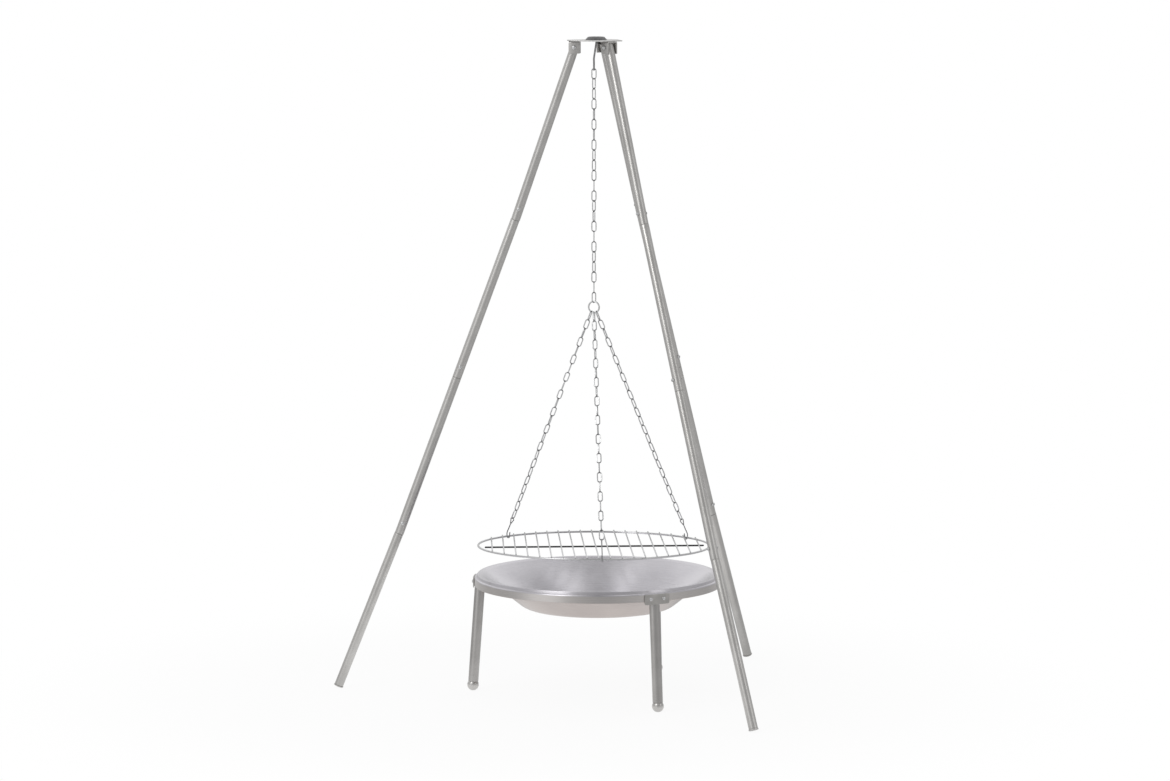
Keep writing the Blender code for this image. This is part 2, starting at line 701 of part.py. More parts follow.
def grate_hook_mesh(azimuth):
    """A hook round the rim, in the grate's frame: eye, straight shank and bend, in a radial plane."""
    lean = math.atan2(BEND_REACH, BEND_DROP)
    along = Vector((-math.sin(lean), math.cos(lean)))
    across = Vector((math.cos(lean), math.sin(lean)))
    bend = Vector((HOOK_WRAP, GRATE_HOOK_BEND))
    eye_centre = bend + along * (GRATE_HOOK_SHANK - EYE_RADIUS)
    tail = eye_centre - along * EYE_LENGTH
    loop = [eye_centre + across * x + along * y for x, y in arc((0, 0), EYE_RADIUS, -40, 220, 8)]
    shank = [tail + along * EYE_WIRE * 1.5, bend] + [Vector(p) for p in arc((0, 0), HOOK_WRAP, 0, -180, 6)]
    shank.append(Vector((-HOOK_WRAP * 1.3, GRATE_HOOK_TIP)))
    out = direction(azimuth)

    def in_plane(points):
        return [out * (GRATE_RADIUS - rim_inset(azimuth) + p[0]) + UP * p[1] for p in points]

    eye = wire("eye", in_plane(loop + [tail]), EYE_WIRE, cyclic=True)
    return boolean(wire("grate_hook", in_plane(shank), GRATE_HOOK_WIRE), "UNION", [eye])


# Fire bowl

def bowl_profile():
    """The sheet's section from the middle of its upper face, over the rim, down the skirt and back."""
    ridge = SKIRT_RADIUS - RIM_WIDTH
    wall_end = ridge - SHOULDER_WIDTH
    shoulder = RIM_HEIGHT - SHOULDER_DROP - BOWL_SHEET
    # The floor bends up into a straight wall that leans outward to the shoulder
    lean = math.radians(DISH_LEAN)
    floor_radius = wall_end - (shoulder - DISH_FLOOR) / math.tan(lean) - DISH_BEND * math.tan(lean / 2)
    under = arc((floor_radius, DISH_FLOOR + DISH_BEND), DISH_BEND, -90, DISH_LEAN - 90, 5) + [(wall_end, shoulder)]
    inner_skirt = SKIRT_RADIUS - BOWL_SHEET
    skirt_bottom = RIM_HEIGHT - SKIRT_HEIGHT
    inside_rounding = RIM_ROUNDING - BOWL_SHEET
    roll = (SKIRT_RADIUS - RIM_ROUNDING, RIM_HEIGHT - RIDGE_STEP - RIM_ROUNDING)
    upper = [(0, DISH_FLOOR + BOWL_SHEET)] + [(radius, height + BOWL_SHEET) for radius, height in under]
    upper += [(ridge - RIDGE_WIDTH, RIM_HEIGHT), (ridge, RIM_HEIGHT)]
    outer = arc(roll, RIM_ROUNDING, 120, 0, 3) + [(SKIRT_RADIUS, skirt_bottom)]
    inner = [(inner_skirt, skirt_bottom)] + arc(roll, inside_rounding, 0, 90, 2)
    inner += [(ridge, roll[1] + inside_rounding), (ridge - BOWL_SHEET, RIM_HEIGHT - BOWL_SHEET)]
    lower = list(reversed(under)) + [(0, DISH_FLOOR)]
    return upper + outer + inner + lower


def bolt_angle():
    return math.degrees(BRACKET_BOLT_SPREAD / 2 / SKIRT_RADIUS)


BRACKET_BOTTOM = RIM_HEIGHT - SKIRT_HEIGHT - BRACKET_BELOW_SKIRT
BOLT_HEIGHT = BRACKET_BOTTOM + BRACKET_BOLT_HEIGHT
BRACKET_INSIDE = SKIRT_RADIUS + GAP
# The skirt's inner face lies furthest in at the middle of a facet
SKIRT_INNER_FACE = (SKIRT_RADIUS - BOWL_SHEET) * math.cos(math.pi / BOWL_STEPS)
BOWL_BOLT_GRIP = BRACKET_INSIDE + BRACKET_SHEET - SKIRT_INNER_FACE + 2 * GAP


def bolt_place(azimuth, side):
    """The middle of a bolt's grip through bracket and skirt, its head facing outward."""
    out = azimuth + side * bolt_angle()
    middle = SKIRT_INNER_FACE - GAP + BOWL_BOLT_GRIP / 2
    return turn_z(out) @ Matrix.Translation((middle, 0, BOLT_HEIGHT)) @ AXIS_TURNS["X"]


def bolt_holes(azimuth):
    radius = BOWL_BOLT_RADIUS + SCREW_HOLE_PLAY
    length = 4 * (BOWL_SHEET + BRACKET_SHEET)
    return [moved(cylinder("hole", radius, length, 8), bolt_place(azimuth, side)) for side in (-1, 1)]


def bowl_mesh():
    bowl = turned("bowl", bowl_profile(), BOWL_STEPS)
    holes = [hole for azimuth in BOWL_LEG_DIRECTIONS.values() for hole in bolt_holes(azimuth)]
    return boolean(bowl, "DIFFERENCE", [joined(holes, "holes")])


def bracket_mesh(azimuth):
    """A curved plate outside the skirt, with rounded corners."""
    work = bmesh.new()
    bmesh.ops.create_grid(work, x_segments=8, y_segments=2, size=1.0)
    for vertex in work.verts:
        angle = vertex.co.x * BRACKET_WIDTH / 2 / SKIRT_RADIUS
        height = BRACKET_BOTTOM + (vertex.co.y + 1) * BRACKET_HEIGHT / 2
        vertex.co = (BRACKET_INSIDE * math.cos(angle), BRACKET_INSIDE * math.sin(angle), height)
    corners = [v for v in work.verts if len(v.link_edges) == 2]
    bmesh.ops.bevel(work, geom=corners, offset=BRACKET_ROUNDING, affect="VERTICES", segments=2, profile=0.5)
    plate = bpy.data.meshes.new("bracket")
    work.to_mesh(plate)
    work.free()
    obj = temporary(plate)
    thick = obj.modifiers.new("thickness", "SOLIDIFY")
    thick.thickness = BRACKET_SHEET
    thick.offset = 1.0
    thick.use_even_offset = True
    solid = finished_mesh(obj, "bracket")
    moved(solid, turn_z(azimuth))
    return boolean(solid, "DIFFERENCE", bolt_holes(azimuth))


BALL_CENTRE_HEIGHT = BALL_RADIUS - BALL_FLAT


def bowl_leg_axis(name):
    """The ball's centre, the direction up the leg and the leg's length to its top."""
    foot_reach = BOWL_LEG_FOOT_REACH[name]
    rise = BRACKET_BOTTOM - BALL_CENTRE_HEIGHT
    top_reach = BRACKET_INSIDE - GAP - BOWL_LEG_RADIUS
    lean = math.atan2(foot_reach - top_reach, rise)
    top_reach -= BOWL_LEG_RADIUS * (1 / math.cos(lean) - 1)
    lean = math.atan2(foot_reach - top_reach, rise)
    out = direction(BOWL_LEG_DIRECTIONS[name])
    up = UP * math.cos(lean) - out * math.sin(lean)
    top = RIM_HEIGHT - SKIRT_HEIGHT - GAP - BOWL_LEG_RADIUS * math.sin(lean)
    foot = out * foot_reach + UP * BALL_CENTRE_HEIGHT
    return foot, up, (top - BALL_CENTRE_HEIGHT) / math.cos(lean)


def bowl_leg_mesh(name):
    foot, up, length = bowl_leg_axis(name)
    bore = BOWL_LEG_RADIUS - BOWL_LEG_WALL
    start = math.sqrt(BALL_RADIUS ** 2 - bore ** 2) + GAP
    profile = [(BOWL_LEG_RADIUS, length), (BOWL_LEG_RADIUS, start), (bore, start), (bore, length)]
    tube = turned("bowl_leg", profile, TUBE_SIDES, closed=True)
    side = UP.cross(direction(BOWL_LEG_DIRECTIONS[name]))
    return moved(tube, frame(foot, side.cross(up), side, up))


def ball_mesh(name):
    foot = bowl_leg_axis(name)[0]
    work = bmesh.new()
    bmesh.ops.create_uvsphere(work, u_segments=12, v_segments=9, radius=BALL_RADIUS)
    ball = bpy.data.meshes.new("ball_foot")
    work.to_mesh(ball)
    work.free()
    side = BALL_RADIUS * 4
    ground = block("ground", (side, side, side), (foot.x, foot.y, -side / 2))
    return boolean(moved(ball, Matrix.Translation(foot)), "DIFFERENCE", [ground])


# Assembly

def add_head(root):
    head = Matrix.Translation((0, 0, PLATE_UNDERSIDE + PLATE_THICKNESS / 2))
    part("top_plate", plate_mesh(), "tube", root, head)
    part("hub_cap", cap_mesh(), "dark", root, Matrix.Translation((0, 0, PLATE_TOP + GAP)))
    clevis = clevis_mesh()
    grip = 2 * (TUBE_RADIUS + CLEVIS_PLAY + CLEVIS_SHEET + GAP)
    bolt = screw_mesh("clevis_bolt", CLEVIS_BOLT_RADIUS, grip)
    tubes = leg_meshes()
    screw = screw_mesh("sleeve_screw", SLEEVE_SCREW_RADIUS, 2 * (TUBE_RADIUS + GAP))
    cap = foot_cap_mesh()
    for name, azimuth in LEG_DIRECTIONS.items():
        place = direction(PIVOT_DIRECTIONS[name] + PLATE_TURN) * PIVOT_RADIUS + UP * PIVOT_HEIGHT
        pivot = empty(name + "_pivot", root, Matrix.Translation(place) @ turn_z(azimuth))
        part(name + "_clevis", clevis, "tube", pivot)
        part(name + "_clevis_bolt", bolt, "zinc", pivot, AXIS_TURNS["Y"])
        add_leg(name, pivot, tubes, screw, cap)


def add_hanging_gear(root):
    swivel = empty("hook_swivel", root, Matrix.Translation((0, 0, PLATE_TOP)))
    part("hanger_hook", moved(hanger_mesh(), Matrix.Translation((0, 0, -PLATE_TOP))), "zinc", swivel)
    add_hanging_chain(root)
    ring_place = Matrix.Translation(LAST_LINK_BOTTOM)
    ring_pivot = empty("ring_pivot", root, ring_place)
    back = ring_place.inverted()
    part("chain_ring", moved(ring_mesh(), back), "zinc", ring_pivot)
    spreads = {"left": -RING_SPREAD, "front": 0.0, "right": RING_SPREAD}
    for name, azimuth in HOOK_DIRECTIONS.items():
        chain = bridle_mesh(name + "_bridle_chain", spreads[name], azimuth)
        part(name + "_bridle_chain", moved(chain, back), "zinc", ring_pivot)
    grate = empty("grate_frame", ring_pivot, back @ GRATE_FRAME)
    part("grate", grate_mesh(), "chrome", grate)
    part("grate_support_bar", support_bar_mesh(), "dark", grate)
    for name, azimuth in HOOK_DIRECTIONS.items():
        part(name + "_grate_hook", grate_hook_mesh(azimuth), "zinc", grate)


def add_bowl(root):
    base = empty("bowl_frame", root, Matrix.Translation((BOWL_SHIFT, 0, 0)))
    part("bowl", bowl_mesh(), "steel", base)
    bolt = screw_mesh("bowl_bolt", BOWL_BOLT_RADIUS, BOWL_BOLT_GRIP)
    for name, azimuth in BOWL_LEG_DIRECTIONS.items():
        part(f"bowl_{name}_bracket", bracket_mesh(azimuth), "steel", base)
        part(f"bowl_{name}_leg", bowl_leg_mesh(name), "tube", base)
        part(f"bowl_{name}_ball_foot", ball_mesh(name), "tube", base)
        for number, side in enumerate((-1, 1), 1):
            part(f"bowl_{name}_bolt_{number}", bolt, "zinc", base, bolt_place(azimuth, side))


def centre_on_origin(root):
    """Moves the whole object so that the middle of its bounding box lies on the Z axis."""
    bpy.context.view_layer.update()
    places = [obj.matrix_world @ vertex.co for obj in PARTS.objects if obj.type == "MESH"
              for vertex in obj.data.vertices]
    for axis in (0, 1):
        values = [place[axis] for place in places]
        root.location[axis] = -(min(values) + max(values)) / 2
    bpy.context.view_layer.update()


def build():
    root = empty("tripod_axis", None, Matrix.Identity(4))
    add_head(root)
    add_hanging_gear(root)
    add_bowl(root)
    centre_on_origin(root)
    print("tripod axis at", [round(value, 6) for value in root.matrix_world.translation])
    for obj in PARTS.objects:
        if obj.type == "EMPTY":
            place = obj.matrix_world.translation
            print("empty", obj.name, [round(value, 6) for value in place])


build()
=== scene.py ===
"""Looks of the fire pit with a swing grill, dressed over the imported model. Metres, Z up."""

import json
import math

import bmesh
import bpy
from mathutils import Matrix, Vector


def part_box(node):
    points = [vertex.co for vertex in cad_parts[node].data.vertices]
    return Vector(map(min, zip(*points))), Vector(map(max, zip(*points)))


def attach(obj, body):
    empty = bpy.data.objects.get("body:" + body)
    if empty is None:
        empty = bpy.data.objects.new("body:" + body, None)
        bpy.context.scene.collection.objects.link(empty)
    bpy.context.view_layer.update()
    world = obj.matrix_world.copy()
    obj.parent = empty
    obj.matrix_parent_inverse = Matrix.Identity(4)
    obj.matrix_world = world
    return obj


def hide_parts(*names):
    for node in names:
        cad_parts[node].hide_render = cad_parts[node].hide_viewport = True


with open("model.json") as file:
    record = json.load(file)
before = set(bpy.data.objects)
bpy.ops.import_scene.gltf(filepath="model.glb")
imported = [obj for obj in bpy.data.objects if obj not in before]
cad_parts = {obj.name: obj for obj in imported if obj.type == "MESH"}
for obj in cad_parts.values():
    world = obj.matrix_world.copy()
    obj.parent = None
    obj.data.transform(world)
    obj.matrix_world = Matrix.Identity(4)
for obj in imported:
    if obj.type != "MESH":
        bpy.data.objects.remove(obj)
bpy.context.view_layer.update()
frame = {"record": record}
RECORD = frame["record"]
BODY_OF = {node: body for body, nodes in RECORD["behaviour"]["bodies"].items() for node in nodes}
SLOT_OF = {entry["node"]: entry["material_slot"] for entry in RECORD["subparts"]}

UP = Vector((0, 0, 1))
low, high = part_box("hub_cap")
AXIS = Vector(((low.x + high.x) / 2, (low.y + high.y) / 2, 0))
TO_AXIS = Matrix.Translation(AXIS)

# Sizes of the solids that the pieces here stand for, in metres and degrees. First the gap between pieces that
# would touch, then the tripod's legs, each with its direction from the middle
GAP = 0.0003
TUBE_RADIUS, TUBE_WALL = 0.0115, 0.0012
SPIGOT_PLAY, SPIGOT_REACH, MOUTH_GAP = 0.001, 0.029, 0.0006
LENGTHS = [0.4345, 0.4325, 0.4325, 0.4615]
LEANS = [math.radians(lean) for lean in (19.1, 20.43, 20.43, 21.76)]
FOOT_RADIUS, FOOT_THICKNESS, FOOT_CHAMFER, FOOT_FLAT = 0.0125, 0.003, 0.0007, 0.0004
SLEEVE_SCREW_RADIUS, CLEVIS_BOLT_RADIUS, BOWL_BOLT_RADIUS = 0.0025, 0.003, 0.0025
PIVOT_RADIUS, PIVOT_DROP = 0.0548, 0.016
LEG_DIRECTIONS = {"left": 174.0, "front": -55.0, "back": 51.0}
# Head of the tripod; the directions of the pivots are counted from the plate's turn
PIVOT_DIRECTIONS = {"left": 180.0, "front": -60.0, "back": 60.0}
PLATE_TURN, PLATE_THICKNESS, PLATE_LIP = 7.4, 0.0025, 0.0024
PLATE_CORNER_WIDTH, PLATE_ROUNDING = 0.058, 0.005
CLEVIS_SHEET, CLEVIS_PLAY, CLEVIS_DEPTH, CLEVIS_HEIGHT = 0.0025, 0.0006, 0.028, 0.031
CAP_RADIUS, CAP_TOP_RADIUS, CAP_HEIGHT, CAP_SHEET = 0.028, 0.0215, 0.0085, 0.0014
ROD_RADIUS, ROD_STRAIGHT = 0.0024, 0.006
HOOK_DROP, HOOK_SHIFT, HOOK_RADIUS = 0.073, -0.0055, 0.0075
HOOK_NECK, HOOK_TIP, HOOK_MOUTH = 0.011, 0.006, 0.003
# Chains; each link of the hanging chain is turned from the one above it
LINK_WIRE, LINK_INNER, LINK_WIDTH, LINK_BITE = 0.0015, 0.0252, 0.0135, 0.0007
LINK_TURNS = [50, 80, 50, 75, 90, 95, 80, 75, 85, 55, 75, 80, 60, 65, 65, 90, 80, 60, 80, 50, 90, 122]
BRIDLE_LINKS = 24
RING_RADIUS, RING_WIRE, RING_TURN, RING_SPREAD = 0.0145, 0.002, -23.0, 30.0
# Grate; RIM_STEPS are the facets of the solid's rim
GRATE_RADIUS, GRATE_RIM_WIRE, GRATE_TILT, GRATE_ROLL, GRATE_TURN = 0.2965, 0.0026, 1.45, -0.1, 1.9
ROD_COUNT, ROD_PITCH, ROD_SHIFT, GRATE_ROD_WIRE, ROD_WELD = 19, 0.0294, 0.003, 0.0018, 0.0004
BAR_WIRE, BAR_SHORT, BAR_SHIFT, BAR_TURN, RIM_STEPS = 0.0022, 0.014, 0.02, 3.2, 48
GRATE_HOOK_WIRE, GRATE_HOOK_SHANK, GRATE_HOOK_BEND, GRATE_HOOK_TIP = 0.0014, 0.0451, 0.009, 0.010
EYE_RADIUS, EYE_WIRE, EYE_LENGTH = 0.0048, 0.0013, 0.013
HOOK_DIRECTIONS = {"left": 137.1, "front": -87.9, "right": 33.9}
# Fire bowl; BOWL_STEPS are the facets of the solid's skirt
BOWL_SHIFT, BOWL_SHEET, SKIRT_RADIUS, RIM_HEIGHT = 0.004, 0.002, 0.3162, 0.3075
SKIRT_HEIGHT, RIM_ROUNDING, RIM_WIDTH = 0.0285, 0.0045, 0.0082
RIDGE_WIDTH, RIDGE_STEP, SHOULDER_WIDTH, SHOULDER_DROP = 0.0015, 0.0065, 0.018, 0.003
DISH_FLOOR, DISH_LEAN, DISH_BEND = 0.2195, 38.4, 0.054
BOWL_STEPS = 48
BOWL_LEG_RADIUS, BOWL_LEG_WALL = 0.0131, 0.0012
BOWL_LEG_FOOT_REACH = {"left": 0.3215, "front": 0.3225, "back": 0.3155}
BRACKET_SHEET, BRACKET_WIDTH, BRACKET_HEIGHT, BRACKET_BELOW_SKIRT = 0.003, 0.070, 0.026, 0.0065
BRACKET_ROUNDING, BRACKET_BOLT_SPREAD, BRACKET_BOLT_HEIGHT = 0.004, 0.036, 0.0142
BALL_RADIUS, BALL_FLAT = 0.015, 0.0003
BOWL_LEG_DIRECTIONS = {"left": 176.5, "front": -62.0, "back": 60.2}

# Turns Z into another axis
AXIS_TURNS = {"X": Matrix.Rotation(math.radians(90), 4, "Y"), "Y": Matrix.Rotation(math.radians(-90), 4, "X")}


# Shaping helpers

POLE_RADIUS = 1e-7
# Steps round the pieces that are turned, from the widest to the screws, and round the wires
WIDE_STEPS, CAP_STEPS, RING_STEPS, TUBE_STEPS, BALL_STEPS, SCREW_STEPS = 192, 72, 64, 48, 40, 32
ROD_SIDES, GRATE_ROD_SIDES, GRATE_HOOK_SIDES, EYE_SIDES, WIRE_STEPS = 20, 16, 14, 12, 16
# Angles of the rings that dome the open end of a wire
DOME_ANGLES = [math.radians(45), math.radians(75)]
NUT_CHAMFER = 0.09


def turn_z(degrees):
    return Matrix.Rotation(math.radians(degrees), 4, "Z")


def direction(degrees):
    return Vector((math.cos(math.radians(degrees)), math.sin(math.radians(degrees)), 0))


def frame_matrix(origin, x_axis, y_axis, z_axis):
    """The matrix that puts things in a frame of its own origin and axes."""
    matrix = Matrix((x_axis, y_axis, z_axis)).transposed().to_4x4()
    matrix.translation = origin
    return matrix


def arc(centre, radius, first, last, steps):
    """Points of an arc from the first angle to the last, in degrees."""
    angles = [math.radians(first + (last - first) * k / steps) for k in range(steps + 1)]
    return [(centre[0] + radius * math.cos(a), centre[1] + radius * math.sin(a)) for a in angles]


def link(obj):
    """Puts an object in the scene."""
    bpy.context.scene.collection.objects.link(obj)
    return obj


def mesh_from(name, verts, faces):
    mesh = bpy.data.meshes.new(name)
    mesh.from_pydata([tuple(v) for v in verts], [], faces)
    return mesh


def face_outward(mesh):
    work = bmesh.new()
    work.from_mesh(mesh)
    bmesh.ops.recalc_face_normals(work, faces=work.faces)
    work.to_mesh(mesh)
    work.free()
    return mesh


def turned(name, profile, steps, closed=False):
    """Turns a profile of radii and heights about Z, with a pole where the radius is next to nothing."""
    verts, rows = [], []
    for radius, height in profile:
        if radius < POLE_RADIUS:
            rows.append([len(verts)])
            verts.append((0, 0, height))
            continue
        rows.append(list(range(len(verts), len(verts) + steps)))
        for k in range(steps):
            angle = 2 * math.pi * k / steps
            verts.append((radius * math.cos(angle), radius * math.sin(angle), height))
    faces = []
    for first, second in zip(rows, rows[1:] + rows[:1] if closed else rows[1:]):
        for k in range(steps):
            n = (k + 1) % steps
            if len(first) == 1:
                faces.append((first[0], second[n], second[k]))
            elif len(second) == 1:
                faces.append((first[k], first[n], second[0]))
            else:
                faces.append((first[k], first[n], second[n], second[k]))
    return face_outward(mesh_from(name, verts, faces))


def smooth_path(points, per_step, cyclic=False):
    """A Catmull-Rom curve through the points."""
    points = [Vector(p) for p in points]
    count = len(points)
    result = []
    spans = count if cyclic else count - 1
    for i in range(spans):
        if cyclic:
            a, b, c, d = (points[(i + k) % count] for k in (-1, 0, 1, 2))
        else:
            a, b = points[max(i - 1, 0)], points[i]
            c, d = points[i + 1], points[min(i + 2, count - 1)]
        for k in range(per_step):
            t = k / per_step
            result.append(0.5 * ((2 * b) + (c - a) * t + (2 * a - 5 * b + 4 * c - d) * t * t
                                 + (3 * b - a - 3 * c + d) * t * t * t))
    if not cyclic:
        result.append(points[-1])
    return result


def carried_normals(tangents, cyclic):
    """A normal for each tangent, carried along without twist; in a loop the slip is spread over all of them."""
    normals = [tangents[0].orthogonal().normalized()]
    for before, after in zip(tangents, tangents[1:]):
        normals.append((before.rotation_difference(after) @ normals[-1]).normalized())
    if not cyclic:
        return normals
    last = (tangents[-1].rotation_difference(tangents[0]) @ normals[-1]).normalized()
    slip = last.angle(normals[0])
    if last.cross(normals[0]).dot(tangents[0]) < 0:
        slip = -slip
    count = len(tangents)
    return [Matrix.Rotation(slip * i / count, 3, tangents[i]) @ normal for i, normal in enumerate(normals)]


def dome(ring, sign, angle):
    """A smaller ring beyond the end ring of a wire."""
    place, normal, tangent, radius = ring
    return place + tangent * (sign * radius * math.sin(angle)), normal, tangent, radius * math.cos(angle)


def swept(name, points, radii, sides, cyclic=False):
    """A round wire along points, closed or with domed ends; one radius, or one for each point."""
    points = [Vector(p) for p in points]
    count = len(points)
    if not isinstance(radii, (list, tuple)):
        radii = [radii] * count
    tangents = []
    for i in range(count):
        before = points[i - 1] if (i or cyclic) else points[i]
        after = points[(i + 1) % count] if (i < count - 1 or cyclic) else points[i]
        tangents.append((after - before).normalized())
    rings = list(zip(points, carried_normals(tangents, cyclic), tangents, radii))
    if not cyclic:
        head = [dome(rings[0], -1, angle) for angle in reversed(DOME_ANGLES)]
        rings = head + rings + [dome(rings[-1], 1, angle) for angle in DOME_ANGLES]
    verts = []
    for place, normal, tangent, radius in rings:
        side = tangent.cross(normal)
        for k in range(sides):
            angle = 2 * math.pi * k / sides
            verts.append(place + (normal * math.cos(angle) + side * math.sin(angle)) * radius)
    total = len(rings)
    faces = []
    for i in range(total if cyclic else total - 1):
        a, b = i * sides, ((i + 1) % total) * sides
        for k in range(sides):
            n = (k + 1) % sides
            faces.append((a + k, a + n, b + n, b + k))
    if not cyclic:
        faces.append(tuple(reversed(range(sides))))
        faces.append(tuple((total - 1) * sides + k for k in range(sides)))
    return face_outward(mesh_from(name, verts, faces))


def moved(mesh, matrix):
    mesh.transform(matrix)
    return mesh


def joined(meshes, name):
    """One mesh of several."""
    work = bmesh.new()
    for mesh in meshes:
        work.from_mesh(mesh)
    result = bpy.data.meshes.new(name)
    work.to_mesh(result)
    work.free()
    return result


def bevelled(mesh, width, segments=2, angle=30):
    """The mesh with its edges rounded."""
    obj = link(bpy.data.objects.new("bevel_work", mesh))
    modifier = obj.modifiers.new("edges", "BEVEL")
    modifier.width = width
    modifier.segments = segments
    modifier.limit_method = "ANGLE"
    modifier.angle_limit = math.radians(angle)
    bpy.context.view_layer.update()
    result = bpy.data.meshes.new_from_object(obj.evaluated_get(bpy.context.evaluated_depsgraph_get()))
    bpy.data.objects.remove(obj)
    return result


def rounded(points, radius, segments):
    """A polygon with its corners rounded."""
    result = []
    count = len(points)
    for i, corner in enumerate(points):
        corner = Vector(corner)
        before = (Vector(points[i - 1]) - corner).normalized()
        after = (Vector(points[(i + 1) % count]) - corner).normalized()
        half = before.angle(after) / 2
        centre = corner + (before + after).normalized() * (radius / math.sin(half))
        start = corner + before * (radius / math.tan(half)) - centre
        end = corner + after * (radius / math.tan(half)) - centre
        sweep = start.angle_signed(end)
        for k in range(segments + 1):
            result.append(tuple(centre + Matrix.Rotation(-sweep * k / segments, 2) @ start))
    return result


def slab(name, outline, thickness):
    """A flat plate in the XY plane, centred on Z = 0."""
    count = len(outline)
    verts = [(x, y, thickness / 2) for x, y in outline] + [(x, y, -thickness / 2) for x, y in outline]
    faces = [tuple(range(count)), tuple(reversed(range(count, 2 * count)))]
    faces += [(k, (k + 1) % count, count + (k + 1) % count, count + k) for k in range(count)]
    return face_outward(mesh_from(name, verts, faces))


def hex_nut(name, radius, height):
    """A nut with chamfered corners, centred on the origin along Z."""
    work = bmesh.new()
    bmesh.ops.create_cone(work, cap_ends=True, segments=6, radius1=radius, radius2=radius, depth=height)
    mesh = bpy.data.meshes.new(name)
    work.to_mesh(mesh)
    work.free()
    return bevelled(mesh, radius * NUT_CHAMFER)


# Shader nodes

def new_node(tree, kind, inputs, **settings):
    """A shader node with its settings, and its inputs linked to outputs or set to values."""
    node = tree.nodes.new("ShaderNode" + kind)
    for name, value in settings.items():
        setattr(node, name, value)
    for key, value in inputs.items():
        if isinstance(value, bpy.types.NodeSocket):
            tree.links.new(value, node.inputs[key])
        else:
            node.inputs[key].default_value = value
    return node


def calculated(tree, operation, *values):
    return new_node(tree, "Math", dict(enumerate(values)), operation=operation).outputs["Value"]


def vector_node(tree, operation, *values):
    return new_node(tree, "VectorMath", dict(enumerate(values)), operation=operation)


def map_range(tree, value, source, target=(0.0, 1.0), interpolation="LINEAR"):
    """Carries a value from one range to another, held at both ends."""
    inputs = {"Value": value, "From Min": source[0], "From Max": source[1],
              "To Min": target[0], "To Max": target[1]}
    return new_node(tree, "MapRange", inputs, interpolation_type=interpolation).outputs["Result"]


def mixed(tree, share, first, second, blend="MIX"):
    inputs = {"Factor": share, "A": first, "B": second}
    return new_node(tree, "Mix", inputs, data_type="RGBA", blend_type=blend).outputs["Result"]


def ramp(tree, factor, points):
    """The colour that a ramp of (place, colour) points has at a factor."""
    node = new_node(tree, "ValToRGB", {"Fac": factor})
    elements = node.color_ramp.elements
    while len(elements) > 1:
        elements.remove(elements[-1])
    for number, (place, colour) in enumerate(points):
        element = elements.new(place) if number else elements[0]
        element.position = place
        element.color = (*colour, 1.0)
    return node.outputs["Color"]


def noise(tree, scale, detail):
    """Noise in the object's own coordinates."""
    coords = new_node(tree, "TexCoord", {}).outputs["Object"]
    inputs = {"Vector": coords, "Scale": scale, "Detail": detail, "Roughness": 0.55}
    return new_node(tree, "TexNoise", inputs).outputs["Fac"]


def add_bumps(tree, shader, bumps):
    """Chains bumps of (height, strength, distance) into the shader's normal."""
    normal = None
    for height, strength, distance in bumps:
        inputs = {"Height": height, "Strength": strength, "Distance": distance}
        if normal:
            inputs["Normal"] = normal
        normal = new_node(tree, "Bump", inputs).outputs["Normal"]
    tree.links.new(normal, shader.inputs["Normal"])


# Materials

NOISE_SPAN = (0.3, 0.7)
CONTACT_SHADE = "shade_link_bends"


def new_material(name, metallic, roughness):
    material = bpy.data.materials.new(name)
    material.use_nodes = True
    tree = material.node_tree
    shader = tree.nodes["Principled BSDF"]
    shader.inputs["Metallic"].default_value = metallic
    shader.inputs["Roughness"].default_value = roughness
    return material, tree, shader


def add_uneven_gloss(tree, shader, pattern, smoothest, roughest):
    tree.links.new(map_range(tree, pattern, NOISE_SPAN, (smoothest, roughest)), shader.inputs["Roughness"])


def metal(name, dark, pale, roughness, spread, grain, bump, metallic=1.0, cloud=18.0):
    """A metal with cloudy colour, uneven gloss and a fine grain; bump is a strength and a distance."""
    material, tree, shader = new_material(name, metallic, roughness)
    colour = ramp(tree, noise(tree, cloud, 5), [(0.32, dark), (0.68, pale)])
    tree.links.new(colour, shader.inputs["Base Color"])
    fine = noise(tree, grain, 3)
    add_uneven_gloss(tree, shader, fine, roughness - spread, roughness + spread)
    add_bumps(tree, shader, [(fine, *bump)])
    return material


def paint_contact_shade(material, colour):
    """Multiplies the colour where the mesh is marked, painting shade where the links of a chain touch."""
    tree = material.node_tree
    base = tree.nodes["Principled BSDF"].inputs["Base Color"]
    shade_marks = new_node(tree, "Attribute", {}, attribute_name=CONTACT_SHADE).outputs["Fac"]
    tree.links.new(mixed(tree, shade_marks, base.links[0].from_socket, (*colour, 1.0), "MULTIPLY"), base)


